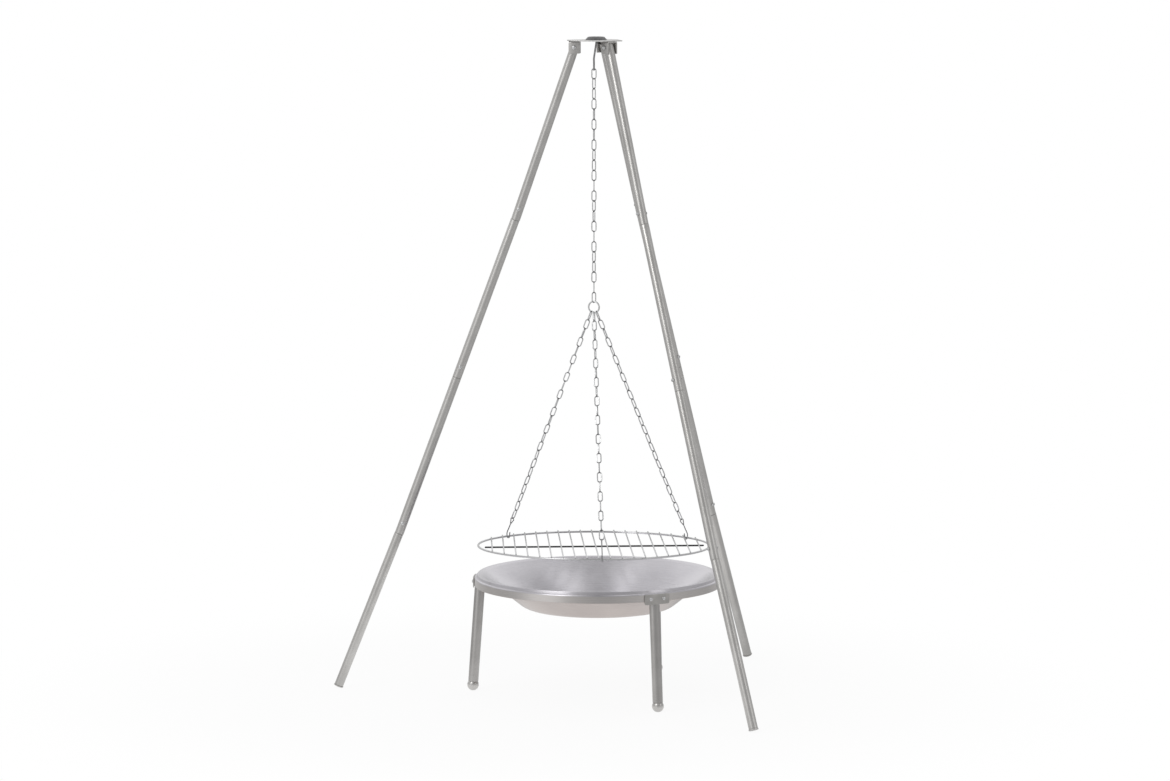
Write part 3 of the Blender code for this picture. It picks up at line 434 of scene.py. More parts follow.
def brushed_sheet(name, inside, skirt, under, roughness):
    """Spun stainless sheet: fine rings, soft clouds, and a tint each for inside, skirt and underside, painted
    light by which way the sheet faces.
    """
    material, tree, shader = new_material(name, 1.0, roughness)
    coords = new_node(tree, "TexCoord", {})
    place = vector_node(tree, "SUBTRACT", coords.outputs["Object"], (AXIS.x + BOWL_SHIFT, AXIS.y, 0))
    level = vector_node(tree, "MULTIPLY", place.outputs["Vector"], (1, 1, 0))
    reach = vector_node(tree, "LENGTH", level.outputs["Vector"]).outputs["Value"]
    height = new_node(tree, "SeparateXYZ", {0: place.outputs["Vector"]}).outputs["Z"]
    inputs = {"W": calculated(tree, "ADD", reach, height), "Scale": 900, "Detail": 4, "Roughness": 0.7}
    rings = new_node(tree, "TexNoise", inputs, noise_dimensions="1D").outputs["Fac"]

    # The sheet faces straight down at 0, level at 0.5 and straight up at 1
    facing = new_node(tree, "SeparateXYZ", {0: coords.outputs["Normal"]}).outputs["Z"]
    # The tints by facing are painted light: a darker warm tint on the skirt and a warm painted reflection of
    # the floor underneath.
    painted_facing_tints = [(0.0, under), (0.42, under), (0.48, skirt), (0.52, skirt), (0.62, inside), (1.0, inside)]
    painted_facing_tint = ramp(tree, map_range(tree, facing, (-1.0, 1.0)), painted_facing_tints)
    shade = ramp(tree, noise(tree, 9, 4), [(0.3, (0.90, 0.90, 0.91)), (0.7, (1.0, 1.0, 1.0))])
    tree.links.new(mixed(tree, 1.0, painted_facing_tint, shade, "MULTIPLY"), shader.inputs["Base Color"])

    add_uneven_gloss(tree, shader, rings, roughness - 0.05, roughness + 0.06)
    add_bumps(tree, shader, [(rings, 0.12, 0.0004), (noise(tree, 7, 2), 0.5, 0.004)])
    shader.inputs["Anisotropic"].default_value = 0.8
    shader.inputs["Anisotropic Rotation"].default_value = 0.25
    tangent = new_node(tree, "Tangent", {}, direction_type="RADIAL", axis="Z")
    tree.links.new(tangent.outputs["Tangent"], shader.inputs["Tangent"])
    return material


LOOKS = {
    "tube": metal("satin_silver_coat", (0.535, 0.525, 0.51), (0.61, 0.60, 0.585), 0.30, 0.05,
                  grain=1500, bump=(0.3, 0.0004), metallic=0.88),
    "zinc": metal("bright_zinc", (0.58, 0.585, 0.59), (0.74, 0.745, 0.75), 0.24, 0.08,
                  grain=1200, bump=(0.15, 0.0002), cloud=300),
    # The steel's inside, skirt and underside tints are painted light by facing.
    "steel": brushed_sheet("brushed_stainless", inside=(0.64, 0.625, 0.655), skirt=(0.60, 0.575, 0.56),
                           under=(0.57, 0.515, 0.49), roughness=0.28),
    "chrome": metal("chromed_wire", (0.58, 0.58, 0.59), (0.67, 0.67, 0.68), 0.14, 0.04,
                    grain=1500, bump=(0.06, 0.0001), cloud=60),
    "dark": metal("dark_satin", (0.04, 0.04, 0.042), (0.065, 0.065, 0.067), 0.42, 0.07,
                  grain=1300, bump=(0.25, 0.0003), metallic=0.3),
    "bracket": metal("satin_stainless", (0.43, 0.42, 0.405), (0.52, 0.505, 0.49), 0.34, 0.06,
                     grain=900, bump=(0.2, 0.0003), cloud=40),
    "plate": metal("satin_plate", (0.52, 0.515, 0.505), (0.60, 0.595, 0.585), 0.34, 0.06,
                   grain=1100, bump=(0.2, 0.0003), metallic=0.85),
    "cap": metal("dark_cap", (0.13, 0.13, 0.133), (0.18, 0.18, 0.183), 0.42, 0.07,
                 grain=1300, bump=(0.25, 0.0003), metallic=0.3),
    "bowl_leg": metal("satin_leg_coat", (0.40, 0.39, 0.38), (0.47, 0.46, 0.45), 0.30, 0.05,
                      grain=1500, bump=(0.3, 0.0004), metallic=0.88),
    "rod": metal("dull_zinc", (0.27, 0.27, 0.275), (0.38, 0.38, 0.385), 0.3, 0.06,
                 grain=1000, bump=(0.15, 0.0002), cloud=200),
}
# Painted shade: the chain links go darker in their bends, where they touch the next link.
paint_contact_shade(LOOKS["zinc"], (0.22, 0.22, 0.225))


# Adding pieces

def add(node, mesh, matrix=None, look=None, sharp=35):
    """Puts a finer piece where a CAD node is; the mesh is given in the tripod's axis frame."""
    mesh.transform(TO_AXIS @ (matrix or Matrix.Identity(4)))
    mesh.materials.clear()
    mesh.materials.append(LOOKS[look or SLOT_OF[node]])
    mesh.shade_smooth()
    mesh.set_sharp_from_angle(angle=math.radians(sharp))
    obj = link(bpy.data.objects.new(node + "_look", mesh))
    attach(obj, BODY_OF[node])
    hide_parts(node)


# Heights and places that follow from the sizes

FOOT_CENTRE_HEIGHT = FOOT_RADIUS * math.sin(LEANS[3]) - FOOT_FLAT
PIVOT_HEIGHT = FOOT_CENTRE_HEIGHT + sum(length * math.cos(lean) for length, lean in zip(LENGTHS, LEANS))
PLATE_UNDERSIDE = PIVOT_HEIGHT + PIVOT_DROP
PLATE_TOP = PLATE_UNDERSIDE + PLATE_THICKNESS
BORE = TUBE_RADIUS - TUBE_WALL
SPIGOT_RADIUS = BORE - SPIGOT_PLAY
LINK_SPAN = LINK_INNER + 2 * LINK_WIRE
LINK_PITCH = LINK_INNER + LINK_BITE
LINK_BEND = LINK_WIDTH / 2 - LINK_WIRE
HOOK_BOTTOM = Vector((HOOK_SHIFT, 0, PLATE_UNDERSIDE - HOOK_DROP))
FIRST_LINK_TOP = HOOK_BOTTOM + UP * (ROD_RADIUS + LINK_WIRE + GAP)
SECOND_LINK_TOP = FIRST_LINK_TOP - UP * (LINK_SPAN - 2 * LINK_WIRE - GAP)
LAST_LINK_BOTTOM = SECOND_LINK_TOP - UP * (LINK_SPAN + LINK_PITCH * (len(LINK_TURNS) - 1))
RING_CENTRE = LAST_LINK_BOTTOM + UP * (LINK_WIRE + RING_WIRE + GAP - RING_RADIUS)
BRIDLE_LENGTH = LINK_SPAN + LINK_PITCH * (BRIDLE_LINKS - 1) - (RING_WIRE + EYE_WIRE + 2 * (LINK_WIRE + GAP))
HOOK_WRAP = GRATE_RIM_WIRE + GRATE_HOOK_WIRE + GAP
BEND_REACH = GRATE_RADIUS + HOOK_WRAP
BEND_DROP = math.sqrt((BRIDLE_LENGTH + GRATE_HOOK_SHANK) ** 2 - BEND_REACH ** 2)
GRATE_CENTRE = Vector((HOOK_SHIFT, 0, RING_CENTRE.z - RING_RADIUS - BEND_DROP - GRATE_HOOK_BEND))
GRATE_FRAME = (Matrix.Translation(GRATE_CENTRE) @ Matrix.Rotation(math.radians(-GRATE_TILT), 4, "X")
               @ Matrix.Rotation(math.radians(-GRATE_ROLL), 4, "Y") @ turn_z(GRATE_TURN))
EYE_SHARE = BRIDLE_LENGTH / (BRIDLE_LENGTH + GRATE_HOOK_SHANK)


# Screws

# In radii of the shank, but HEAD_EDGE is a share of the head's height and SCREW_TAIL is in metres
HEAD_RADIUS, HEAD_HEIGHT, HEAD_EDGE, NUT_RADIUS, NUT_HEIGHT = 1.9, 1.1, 0.12, 1.85, 1.5
THREAD_COUNT, THREAD_ROOT, THREAD_END, SCREW_TAIL = 4, 0.88, 0.8, 0.0015


def screw_mesh(name, radius, grip):
    """A domed head, a plain shank, a nut and a threaded tail along Z, the grip centred on the origin."""
    top = grip / 2
    head = radius * HEAD_RADIUS
    height = radius * HEAD_HEIGHT
    nut_height = radius * NUT_HEIGHT
    crown = [(head * math.sin(a), top + height * (HEAD_EDGE + (1 - HEAD_EDGE) * math.cos(a)))
             for a in [math.radians(degrees) for degrees in range(0, 91, 10)]]
    start = -top - nut_height
    shank = [(head, top), (radius, top), (radius, start)]
    threads = []
    for k in range(THREAD_COUNT):
        crest = start - SCREW_TAIL * k / THREAD_COUNT
        threads += [(radius, crest), (radius * THREAD_ROOT, crest - SCREW_TAIL / THREAD_COUNT / 2)]
    end = start - SCREW_TAIL
    screw = turned(name, crown + shank + threads + [(radius * THREAD_END, end), (0, end)], SCREW_STEPS)
    nut = hex_nut(name + "_nut", radius * NUT_RADIUS, nut_height)
    return joined([screw, moved(nut, Matrix.Translation((0, 0, -top - nut_height / 2)))], name)


# Tripod legs

TUBE_LIP, SWAGE_ROUNDING, SWAGE_NECK = 0.0004, 0.0009, 0.0002
# How far the bore is drawn into a tube's open top and bottom, and how much of the hidden spigot is drawn
TOP_DEPTH, BOTTOM_DEPTH, SPIGOT_SHARE = 0.03, 0.02, 0.5
FOOT_PLUG = 0.004


def leg_tube(number):
    """One tube of a leg, its origin where its upper screw crosses it."""
    lip = TUBE_LIP
    if number == 1:
        top = (PIVOT_DROP - GAP - CLEVIS_SHEET - GAP - TUBE_RADIUS * math.sin(LEANS[0])) / math.cos(LEANS[0])
        upper = [(BORE, top - TOP_DEPTH), (BORE, top - lip / 2), (BORE + lip / 2, top),
                 (TUBE_RADIUS - lip, top), (TUBE_RADIUS, top - lip)]
    else:
        shoulder = SPIGOT_REACH + MOUTH_GAP
        swage = arc((TUBE_RADIUS - SWAGE_ROUNDING, -shoulder - SWAGE_ROUNDING), SWAGE_ROUNDING, 90, 0, 5)
        upper = [(SPIGOT_RADIUS, SPIGOT_REACH * SPIGOT_SHARE), (SPIGOT_RADIUS, -shoulder + SWAGE_NECK)] + swage
    end = LENGTHS[number - 1] + SPIGOT_REACH if number < 4 else LENGTHS[3] - FOOT_THICKNESS - GAP
    lower = [(TUBE_RADIUS, -end + lip), (TUBE_RADIUS - lip, -end), (BORE + lip / 2, -end), (BORE, -end + lip),
             (BORE, -end + BOTTOM_DEPTH)]
    return turned(f"tube_{number}", upper + lower, TUBE_STEPS)


def section_places():
    """Where each tube starts, from the leg's pivot and along its bends."""
    place = Vector((0, 0, 0))
    matrices = []
    for length, lean in zip(LENGTHS, LEANS):
        matrices.append(Matrix.Translation(place) @ Matrix.Rotation(-lean, 4, "Y"))
        place = place + Vector((math.sin(lean), 0, -math.cos(lean))) * length
    return matrices


def foot_cap():
    chamfer, plug_top = FOOT_CHAMFER, FOOT_THICKNESS + FOOT_PLUG
    profile = [(0, plug_top), (BORE - GAP, plug_top), (BORE - GAP, FOOT_THICKNESS)]
    profile += arc((FOOT_RADIUS - chamfer, FOOT_THICKNESS - chamfer), chamfer, 90, 0, 5)
    profile += arc((FOOT_RADIUS - chamfer, chamfer), chamfer, 0, -90, 5) + [(0, 0)]
    cap = turned("foot_cap", profile, TUBE_STEPS)
    moved(cap, section_places()[3] @ Matrix.Translation((0, 0, -LENGTHS[3])))
    for vertex in cap.vertices:
        vertex.co.z = max(vertex.co.z, -PIVOT_HEIGHT)
    return cap


def add_legs():
    places = section_places()
    screw_length = 2 * (TUBE_RADIUS + GAP)
    grip = 2 * (TUBE_RADIUS + CLEVIS_PLAY + CLEVIS_SHEET + GAP)
    for name, azimuth in LEG_DIRECTIONS.items():
        place = direction(PIVOT_DIRECTIONS[name] + PLATE_TURN) * PIVOT_RADIUS + UP * PIVOT_HEIGHT
        pivot = Matrix.Translation(place) @ turn_z(azimuth)
        for number in (1, 2, 3, 4):
            add(f"{name}_tube_{number}", leg_tube(number), pivot @ places[number - 1])
        for number in (1, 2, 3):
            screw = screw_mesh("sleeve_screw", SLEEVE_SCREW_RADIUS, screw_length)
            add(f"{name}_sleeve_screw_{number}", screw, pivot @ places[number] @ AXIS_TURNS["Y"])
        add(name + "_foot_cap", foot_cap(), pivot)
        add(name + "_clevis", clevis_mesh(), pivot)
        bolt = screw_mesh("clevis_bolt", CLEVIS_BOLT_RADIUS, grip)
        add(name + "_clevis_bolt", bolt, pivot @ AXIS_TURNS["Y"])


# Tripod head

CLEVIS_BEND, CLEVIS_EDGE, PLATE_EDGE = 0.0038, 0.0003, 0.0005
# The cap's outline: shares of its top's radius and of its height, then insets from its rim and shares again
CAP_CROWN = [(0.45, 0.99), (0.75, 0.965), (0.92, 0.91), (1.0, 0.83)]
CAP_FLANK = [(0.002, 0.26), (0.0006, 0.09), (0, 0)]
CAP_INNER_SHARE = 0.8
ROD_NUT_RADIUS, ROD_NUT_HEIGHT, ROD_ABOVE_NUT = 0.0048, 0.004, 0.001
# Where the hook's round bottom starts and ends, in degrees, and how far aside the rod is above it, in its radii
HOOK_ARC, HOOK_SWING = (15, -180), 0.6


def clevis_mesh():
    """A strap bent into an upside-down U, its bolt's axis along Y through the origin."""
    inner = TUBE_RADIUS + CLEVIS_PLAY
    outer = inner + CLEVIS_SHEET
    top = PIVOT_DROP - GAP
    bottom = top - CLEVIS_HEIGHT
    bend = CLEVIS_BEND
    inside = bend - CLEVIS_SHEET
    outline = [(-inner, bottom)] + arc((-inner + inside, top - CLEVIS_SHEET - inside), inside, 180, 90, 4)
    outline += arc((inner - inside, top - CLEVIS_SHEET - inside), inside, 90, 0, 4)
    outline += [(inner, bottom), (outer, bottom)] + arc((outer - bend, top - bend), bend, 0, 90, 8)
    outline += arc((bend - outer, top - bend), bend, 90, 180, 8) + [(-outer, bottom)]
    strap = bevelled(slab("clevis", outline, CLEVIS_DEPTH), CLEVIS_EDGE, 2, 50)
    return moved(strap, frame_matrix((0, 0, 0), (0, 1, 0), (0, 0, 1), (1, 0, 0)))


def top_plate_mesh():
    """A triangle with its corners cut off square to each leg."""
    reach = PIVOT_RADIUS + CLEVIS_DEPTH / 2 + PLATE_LIP
    corners = []
    for azimuth in PIVOT_DIRECTIONS.values():
        out = direction(azimuth + PLATE_TURN)
        side = UP.cross(out)
        corners += [out * reach - side * PLATE_CORNER_WIDTH / 2, out * reach + side * PLATE_CORNER_WIDTH / 2]
    outline = rounded([(corner.x, corner.y) for corner in corners], PLATE_ROUNDING, 10)
    return bevelled(slab("top_plate", outline, PLATE_THICKNESS), PLATE_EDGE, 3, 50)


def hub_cap_mesh():
    crown = CAP_HEIGHT
    outer = [(0, crown)] + [(CAP_TOP_RADIUS * share, crown * height) for share, height in CAP_CROWN]
    outer += [(CAP_RADIUS - inset, crown * height) for inset, height in CAP_FLANK]
    inner = [(CAP_RADIUS - CAP_SHEET, 0), (CAP_TOP_RADIUS - CAP_SHEET, crown * CAP_INNER_SHARE - CAP_SHEET),
             (0, crown - CAP_SHEET)]
    return turned("hub_cap", outer + inner, CAP_STEPS)


def hanger_hook_mesh():
    """A rod down through the plate that bends aside and ends in a hook, with its nut above the plate."""
    top = PLATE_TOP + GAP + ROD_NUT_HEIGHT + ROD_ABOVE_NUT
    bend_top = PLATE_UNDERSIDE - ROD_STRAIGHT
    centre = HOOK_BOTTOM.z + HOOK_RADIUS
    neck = centre + 2 * HOOK_NECK
    points = [(0, 0, top), (0, 0, PLATE_TOP), (0, 0, bend_top), (HOOK_SHIFT * 0.5, 0, (bend_top + neck) / 2),
              (HOOK_SHIFT, 0, neck), (HOOK_SHIFT, HOOK_RADIUS * HOOK_SWING, centre + HOOK_NECK)]
    points += [(HOOK_SHIFT, y, z) for y, z in arc((0, centre), HOOK_RADIUS, *HOOK_ARC, 9)]
    points.append((HOOK_SHIFT, -HOOK_RADIUS - HOOK_MOUTH, centre + HOOK_TIP))
    rod = swept("hanger_hook", smooth_path(points, 6), ROD_RADIUS, ROD_SIDES)
    nut = hex_nut("nut", ROD_NUT_RADIUS, ROD_NUT_HEIGHT)
    moved(nut, Matrix.Translation((0, 0, PLATE_TOP + GAP + ROD_NUT_HEIGHT / 2)))
    return joined([rod, nut], "hanger_hook")


def add_head():
    middle = Matrix.Translation((0, 0, PLATE_UNDERSIDE + PLATE_THICKNESS / 2))
    add("top_plate", top_plate_mesh(), middle, "plate")
    add("hub_cap", hub_cap_mesh(), Matrix.Translation((0, 0, PLATE_TOP + GAP)), "cap")
    add("hanger_hook", hanger_hook_mesh(), None, "rod")


# Chains

LINK_SEGMENTS, LINK_WIRE_SIDES = 10, 10
# Along a link's straight side: the share of the side, and how much thicker the weld makes it there
WELD_SWELL = [(0.25, 0), (0.42, 0.05), (0.5, 0.14), (0.58, 0.05), (0.75, 0)]
# Shares of the inside length from a link's middle: where the painted shade starts, and how fast it grows to the
# full
CONTACT_SHADE_START, CONTACT_SHADE_GROWS = 0.36, 0.14


def link_line():
    """The middle line of a link in the XZ plane, its top at the origin, and the wire's thickness along it."""
    straight = LINK_INNER / 2 - LINK_BEND
    centre = -(LINK_SPAN / 2)
    points, thickness = [], []
    for sign in (1, -1):
        for k in range(LINK_SEGMENTS + 1):
            angle = math.pi * k / LINK_SEGMENTS
            height = centre + sign * (straight + LINK_BEND * math.sin(angle))
            points.append(Vector((sign * LINK_BEND * math.cos(angle), 0, height)))
            thickness.append(1.0)
        for share, weld in WELD_SWELL:
            points.append(Vector((-sign * LINK_BEND, 0, centre + sign * straight * (1 - 2 * share))))
            thickness.append(1.0 + weld if sign > 0 else 1.0)
    return points, thickness


LINK_LINE, LINK_THICKNESS = link_line()
# How dark each ring of a link is painted with shade: most in the bends, where the next link touches it
LINK_CONTACT_SHADE = [min(max((abs(point.z + LINK_SPAN / 2) / LINK_INNER - CONTACT_SHADE_START) / CONTACT_SHADE_GROWS, 0.0), 1.0)
             for point in LINK_LINE]


def link_mesh(matrix):
    radii = [LINK_WIRE * share for share in LINK_THICKNESS]
    return moved(swept("link", LINK_LINE, radii, LINK_WIRE_SIDES, cyclic=True), matrix)


def shade_link_bends(mesh):
    """Marks the bends of every link of a chain, where painted shade darkens the links that touch."""
    shade_marks = mesh.attributes.new(CONTACT_SHADE, "FLOAT", "POINT")
    for number in range(len(mesh.vertices)):
        shade_marks.data[number].value = LINK_CONTACT_SHADE[number // LINK_WIRE_SIDES % len(LINK_CONTACT_SHADE)]
    return mesh


def chain_mesh(name, start, down, face, turns, pitch):
    """Links along a straight line, each turned from the face by its own angle."""
    side = face.cross(down).normalized()
    base = frame_matrix(start, side, (-down).cross(side), -down)
    return shade_link_bends(joined([link_mesh(base @ Matrix.Translation((0, 0, -pitch * number)) @ turn_z(turn))
                        for number, turn in enumerate(turns)], name))


def ring_point(angle):
    """A place on the ring's wire, in degrees from its lowest point."""
    across = direction(RING_TURN)
    angle = math.radians(angle)
    return RING_CENTRE + across * (RING_RADIUS * math.sin(angle)) - UP * (RING_RADIUS * math.cos(angle))


def rim_inset(azimuth):
    """How far the solid's faceted rim lies inside its true circle at an azimuth."""
    step = 360 / RIM_STEPS
    off_middle = math.radians(azimuth % step - step / 2)
    return GRATE_RADIUS * (1 - math.cos(math.radians(step / 2)) / math.cos(off_middle))


def eye_place(azimuth):
    """The top of a grate hook's eye, where its bridle chain ends."""
    rise = GRATE_HOOK_BEND + BEND_DROP * (1 - EYE_SHARE)
    reach = BEND_REACH * EYE_SHARE - rim_inset(azimuth)
    return GRATE_FRAME @ (direction(azimuth) * reach + UP * rise)


def bridle_mesh(name, ring_angle, azimuth):
    """A chain from the ring to a grate hook, twisted evenly so that its end links fit both wires."""
    ring_wire = ring_point(ring_angle)
    eye = eye_place(azimuth)
    down = (eye - ring_wire).normalized()
    across = direction(RING_TURN)
    tangent = across * math.cos(math.radians(ring_angle)) + UP * math.sin(math.radians(ring_angle))
    face = (tangent - down * tangent.dot(down)).normalized()
    outward = GRATE_FRAME.to_3x3() @ direction(azimuth)
    last_face = (outward - down * outward.dot(down)).normalized()
    side = face.cross(down).normalized()
    end_turn = math.degrees(math.atan2(last_face.dot(side), last_face.dot(face)))
    quarter_turns = 90 * (BRIDLE_LINKS - 1)
    spare = (end_turn - quarter_turns + 90) % 180 - 90
    step = (quarter_turns + spare) / (BRIDLE_LINKS - 1)
    start = ring_wire - down * (RING_WIRE + LINK_WIRE + GAP)
    finish = eye + down * (EYE_WIRE + LINK_WIRE + GAP)
    pitch = ((finish - start).length - LINK_SPAN) / (BRIDLE_LINKS - 1)
    return chain_mesh(name, start, down, face, [step * k for k in range(BRIDLE_LINKS)], pitch)


def add_chains():
    add("chain_top_link", shade_link_bends(link_mesh(Matrix.Translation(FIRST_LINK_TOP))))
    turns = [0.0]
    for step in LINK_TURNS:
        turns.append(turns[-1] + step)
    face = Vector((0, -1, 0))
    add("main_chain", chain_mesh("main_chain", SECOND_LINK_TOP, -UP, face, turns[1:], LINK_PITCH))
    wire = arc((RING_RADIUS, 0), RING_WIRE, 180, -180, WIRE_STEPS)[:-1]
    ring = turned("chain_ring", wire, RING_STEPS, closed=True)
    upright = turn_z(RING_TURN) @ Matrix.Rotation(math.radians(90), 4, "X")
    add("chain_ring", ring, Matrix.Translation(RING_CENTRE) @ upright)
    spreads = {"left": -RING_SPREAD, "front": 0.0, "right": RING_SPREAD}
    for name, azimuth in HOOK_DIRECTIONS.items():
        add(name + "_bridle_chain", bridle_mesh(name + "_bridle_chain", spreads[name], azimuth))


# Grate

# How much short of the rim's middle a rod ends, in radii of the rod
ROD_SHORT = 0.4
# A grate hook's eye from end to end in degrees, the shank's start in the eye in radii of its wire, and the
# reach of the hook's tip in radii of its wrap
EYE_ARC, SHANK_START, TIP_REACH = (-40, 220), 0.6, 1.3


def grate_mesh():
    """The rim, with the rods lying across its top."""
    wire = arc((GRATE_RADIUS, 0), GRATE_RIM_WIRE, 150, -210, WIRE_STEPS)[:-1]
    rim = turned("grate", wire, WIDE_STEPS, closed=True)
    height = GRATE_RIM_WIRE + GRATE_ROD_WIRE - ROD_WELD
    pieces = [rim]
    for number in range(ROD_COUNT):
        across = (number - (ROD_COUNT - 1) / 2) * ROD_PITCH + ROD_SHIFT
        half = math.sqrt(GRATE_RADIUS ** 2 - across ** 2) - GRATE_ROD_WIRE * ROD_SHORT
        line = [(across, along, height) for along in (-half, 0, half)]
        pieces.append(swept("rod", line, GRATE_ROD_WIRE, GRATE_ROD_SIDES))
    return joined(pieces, "grate")


def grate_hook_mesh(azimuth):
    """A hook bent round the rim, its shank leaning to the ring and its eye at the top."""
    lean = math.atan2(BEND_REACH, BEND_DROP)
    along = Vector((-math.sin(lean), math.cos(lean)))
    across = Vector((math.cos(lean), math.sin(lean)))
    bend = Vector((HOOK_WRAP, GRATE_HOOK_BEND))
    eye_centre = bend + along * (GRATE_HOOK_SHANK - EYE_RADIUS)
    tail = eye_centre - along * EYE_LENGTH
    loop = [eye_centre + across * x + along * y for x, y in arc((0, 0), EYE_RADIUS, *EYE_ARC, 12)]
    shank = [tail + along * EYE_WIRE * SHANK_START, tail * 0.5 + bend * 0.5, bend]
    shank += [Vector(p) for p in arc((0, 0), HOOK_WRAP, 0, -180, 10)]
    shank.append(Vector((-HOOK_WRAP * TIP_REACH, GRATE_HOOK_TIP)))
    out = direction(azimuth)

    def in_plane(points):
        return [out * (GRATE_RADIUS - rim_inset(azimuth) + p[0]) + UP * p[1] for p in points]

    ring = smooth_path(in_plane(loop + [tail]), 3, cyclic=True)
    eye = swept("eye", ring, EYE_WIRE, EYE_SIDES, cyclic=True)
    hook = swept("grate_hook", smooth_path(in_plane(shank), 4), GRATE_HOOK_WIRE, GRATE_HOOK_SIDES)
    return joined([hook, eye], "grate_hook")


def add_grate():
    add("grate", grate_mesh(), GRATE_FRAME)
    height = GRATE_RIM_WIRE - ROD_WELD - GAP - BAR_WIRE
    half = math.sqrt(GRATE_RADIUS ** 2 - BAR_SHIFT ** 2) - BAR_SHORT - BAR_WIRE
    bar = swept("bar", [(along, -BAR_SHIFT, height) for along in (-half, 0, half)], BAR_WIRE, ROD_SIDES)
    add("grate_support_bar", bar, GRATE_FRAME @ turn_z(BAR_TURN))
    for name, azimuth in HOOK_DIRECTIONS.items():
        add(name + "_grate_hook", grate_hook_mesh(azimuth), GRATE_FRAME, "rod")


# Fire bowl

BOWL_LIP, BRACKET_EDGE, BRACKET_CUTS, BALL_RINGS = 0.0006, 0.0005, 16, 24
BOWL_LEG_LIP, BOWL_LEG_DEPTH = 0.0004, 0.03


def bowl_profile():
    """From the middle of the dish's inside out to the rim, down the skirt and back under the dish."""
    ridge = SKIRT_RADIUS - RIM_WIDTH
    wall_end = ridge - SHOULDER_WIDTH
    shoulder = RIM_HEIGHT - SHOULDER_DROP - BOWL_SHEET
    lean = math.radians(DISH_LEAN)
    floor_radius = wall_end - (shoulder - DISH_FLOOR) / math.tan(lean) - DISH_BEND * math.tan(lean / 2)
    under = arc((floor_radius, DISH_FLOOR + DISH_BEND), DISH_BEND, -90, DISH_LEAN - 90, 5)
    under.append((wall_end, shoulder))
    inner_skirt = SKIRT_RADIUS - BOWL_SHEET
    skirt_bottom = RIM_HEIGHT - SKIRT_HEIGHT
    inside_rounding = RIM_ROUNDING - BOWL_SHEET
    roll = (SKIRT_RADIUS - RIM_ROUNDING, RIM_HEIGHT - RIDGE_STEP - RIM_ROUNDING)
    lip = BOWL_LIP
    upper = [(0, DISH_FLOOR + BOWL_SHEET)] + [(radius, height + BOWL_SHEET) for radius, height in under]
    upper += arc((ridge - RIDGE_WIDTH, RIM_HEIGHT - lip), lip, 100, 90, 1)
    upper += arc((ridge - lip, RIM_HEIGHT - lip), lip, 90, 10, 4)
    # The extra ring at each end of the skirt keeps it flat in smooth shading
    outer = arc(roll, RIM_ROUNDING, 120, 0, 12)
    outer += [(SKIRT_RADIUS, roll[1] - lip), (SKIRT_RADIUS, skirt_bottom + 2 * lip)]
    outer += [(SKIRT_RADIUS, skirt_bottom + lip), (SKIRT_RADIUS - lip, skirt_bottom)]
    inner = [(inner_skirt + lip, skirt_bottom), (inner_skirt, skirt_bottom + lip)]
    inner += arc(roll, inside_rounding, 0, 90, 8)
    inner += [(ridge, roll[1] + inside_rounding), (ridge - BOWL_SHEET, RIM_HEIGHT - BOWL_SHEET)]
    return upper + outer + inner + list(reversed(under)) + [(0, DISH_FLOOR)]


BRACKET_BOTTOM = RIM_HEIGHT - SKIRT_HEIGHT - BRACKET_BELOW_SKIRT
BOLT_HEIGHT = BRACKET_BOTTOM + BRACKET_BOLT_HEIGHT
BRACKET_INSIDE = SKIRT_RADIUS + GAP
SKIRT_INNER_FACE = (SKIRT_RADIUS - BOWL_SHEET) * math.cos(math.pi / BOWL_STEPS)
BOWL_BOLT_GRIP = BRACKET_INSIDE + BRACKET_SHEET - SKIRT_INNER_FACE + 2 * GAP
BALL_CENTRE_HEIGHT = BALL_RADIUS - BALL_FLAT


def bolt_place(azimuth, side):
    """Where a bolt goes through bracket and skirt, on one side of the leg or the other."""
    out = azimuth + side * math.degrees(BRACKET_BOLT_SPREAD / 2 / SKIRT_RADIUS)
    middle = SKIRT_INNER_FACE - GAP + BOWL_BOLT_GRIP / 2
    return turn_z(out) @ Matrix.Translation((middle, 0, BOLT_HEIGHT)) @ AXIS_TURNS["X"]


def bracket_mesh(azimuth):
    """A curved plate outside the skirt, with rounded corners and edges."""
    half_w, half_h = BRACKET_WIDTH / 2, BRACKET_HEIGHT / 2
    corners = [(-half_w, -half_h), (-half_w, half_h), (half_w, half_h), (half_w, -half_h)]
    outline = rounded(corners, BRACKET_ROUNDING, 8)
    plate = bevelled(slab("bracket", outline, BRACKET_SHEET), BRACKET_EDGE, 3, 50)
    work = bmesh.new()
    work.from_mesh(plate)
    for k in range(1, BRACKET_CUTS):
        place = -half_w + BRACKET_WIDTH * k / BRACKET_CUTS
        geometry = list(work.verts) + list(work.edges) + list(work.faces)
        bmesh.ops.bisect_plane(work, geom=geometry, plane_co=(place, 0, 0), plane_no=(1, 0, 0))
    for vertex in work.verts:
        reach = BRACKET_INSIDE + BRACKET_SHEET / 2 + vertex.co.z
        angle = vertex.co.x / SKIRT_RADIUS
        height = BRACKET_BOTTOM + half_h + vertex.co.y
        vertex.co = (reach * math.cos(angle), reach * math.sin(angle), height)
    bmesh.ops.recalc_face_normals(work, faces=work.faces)
    work.to_mesh(plate)
    work.free()
    return moved(plate, turn_z(azimuth))


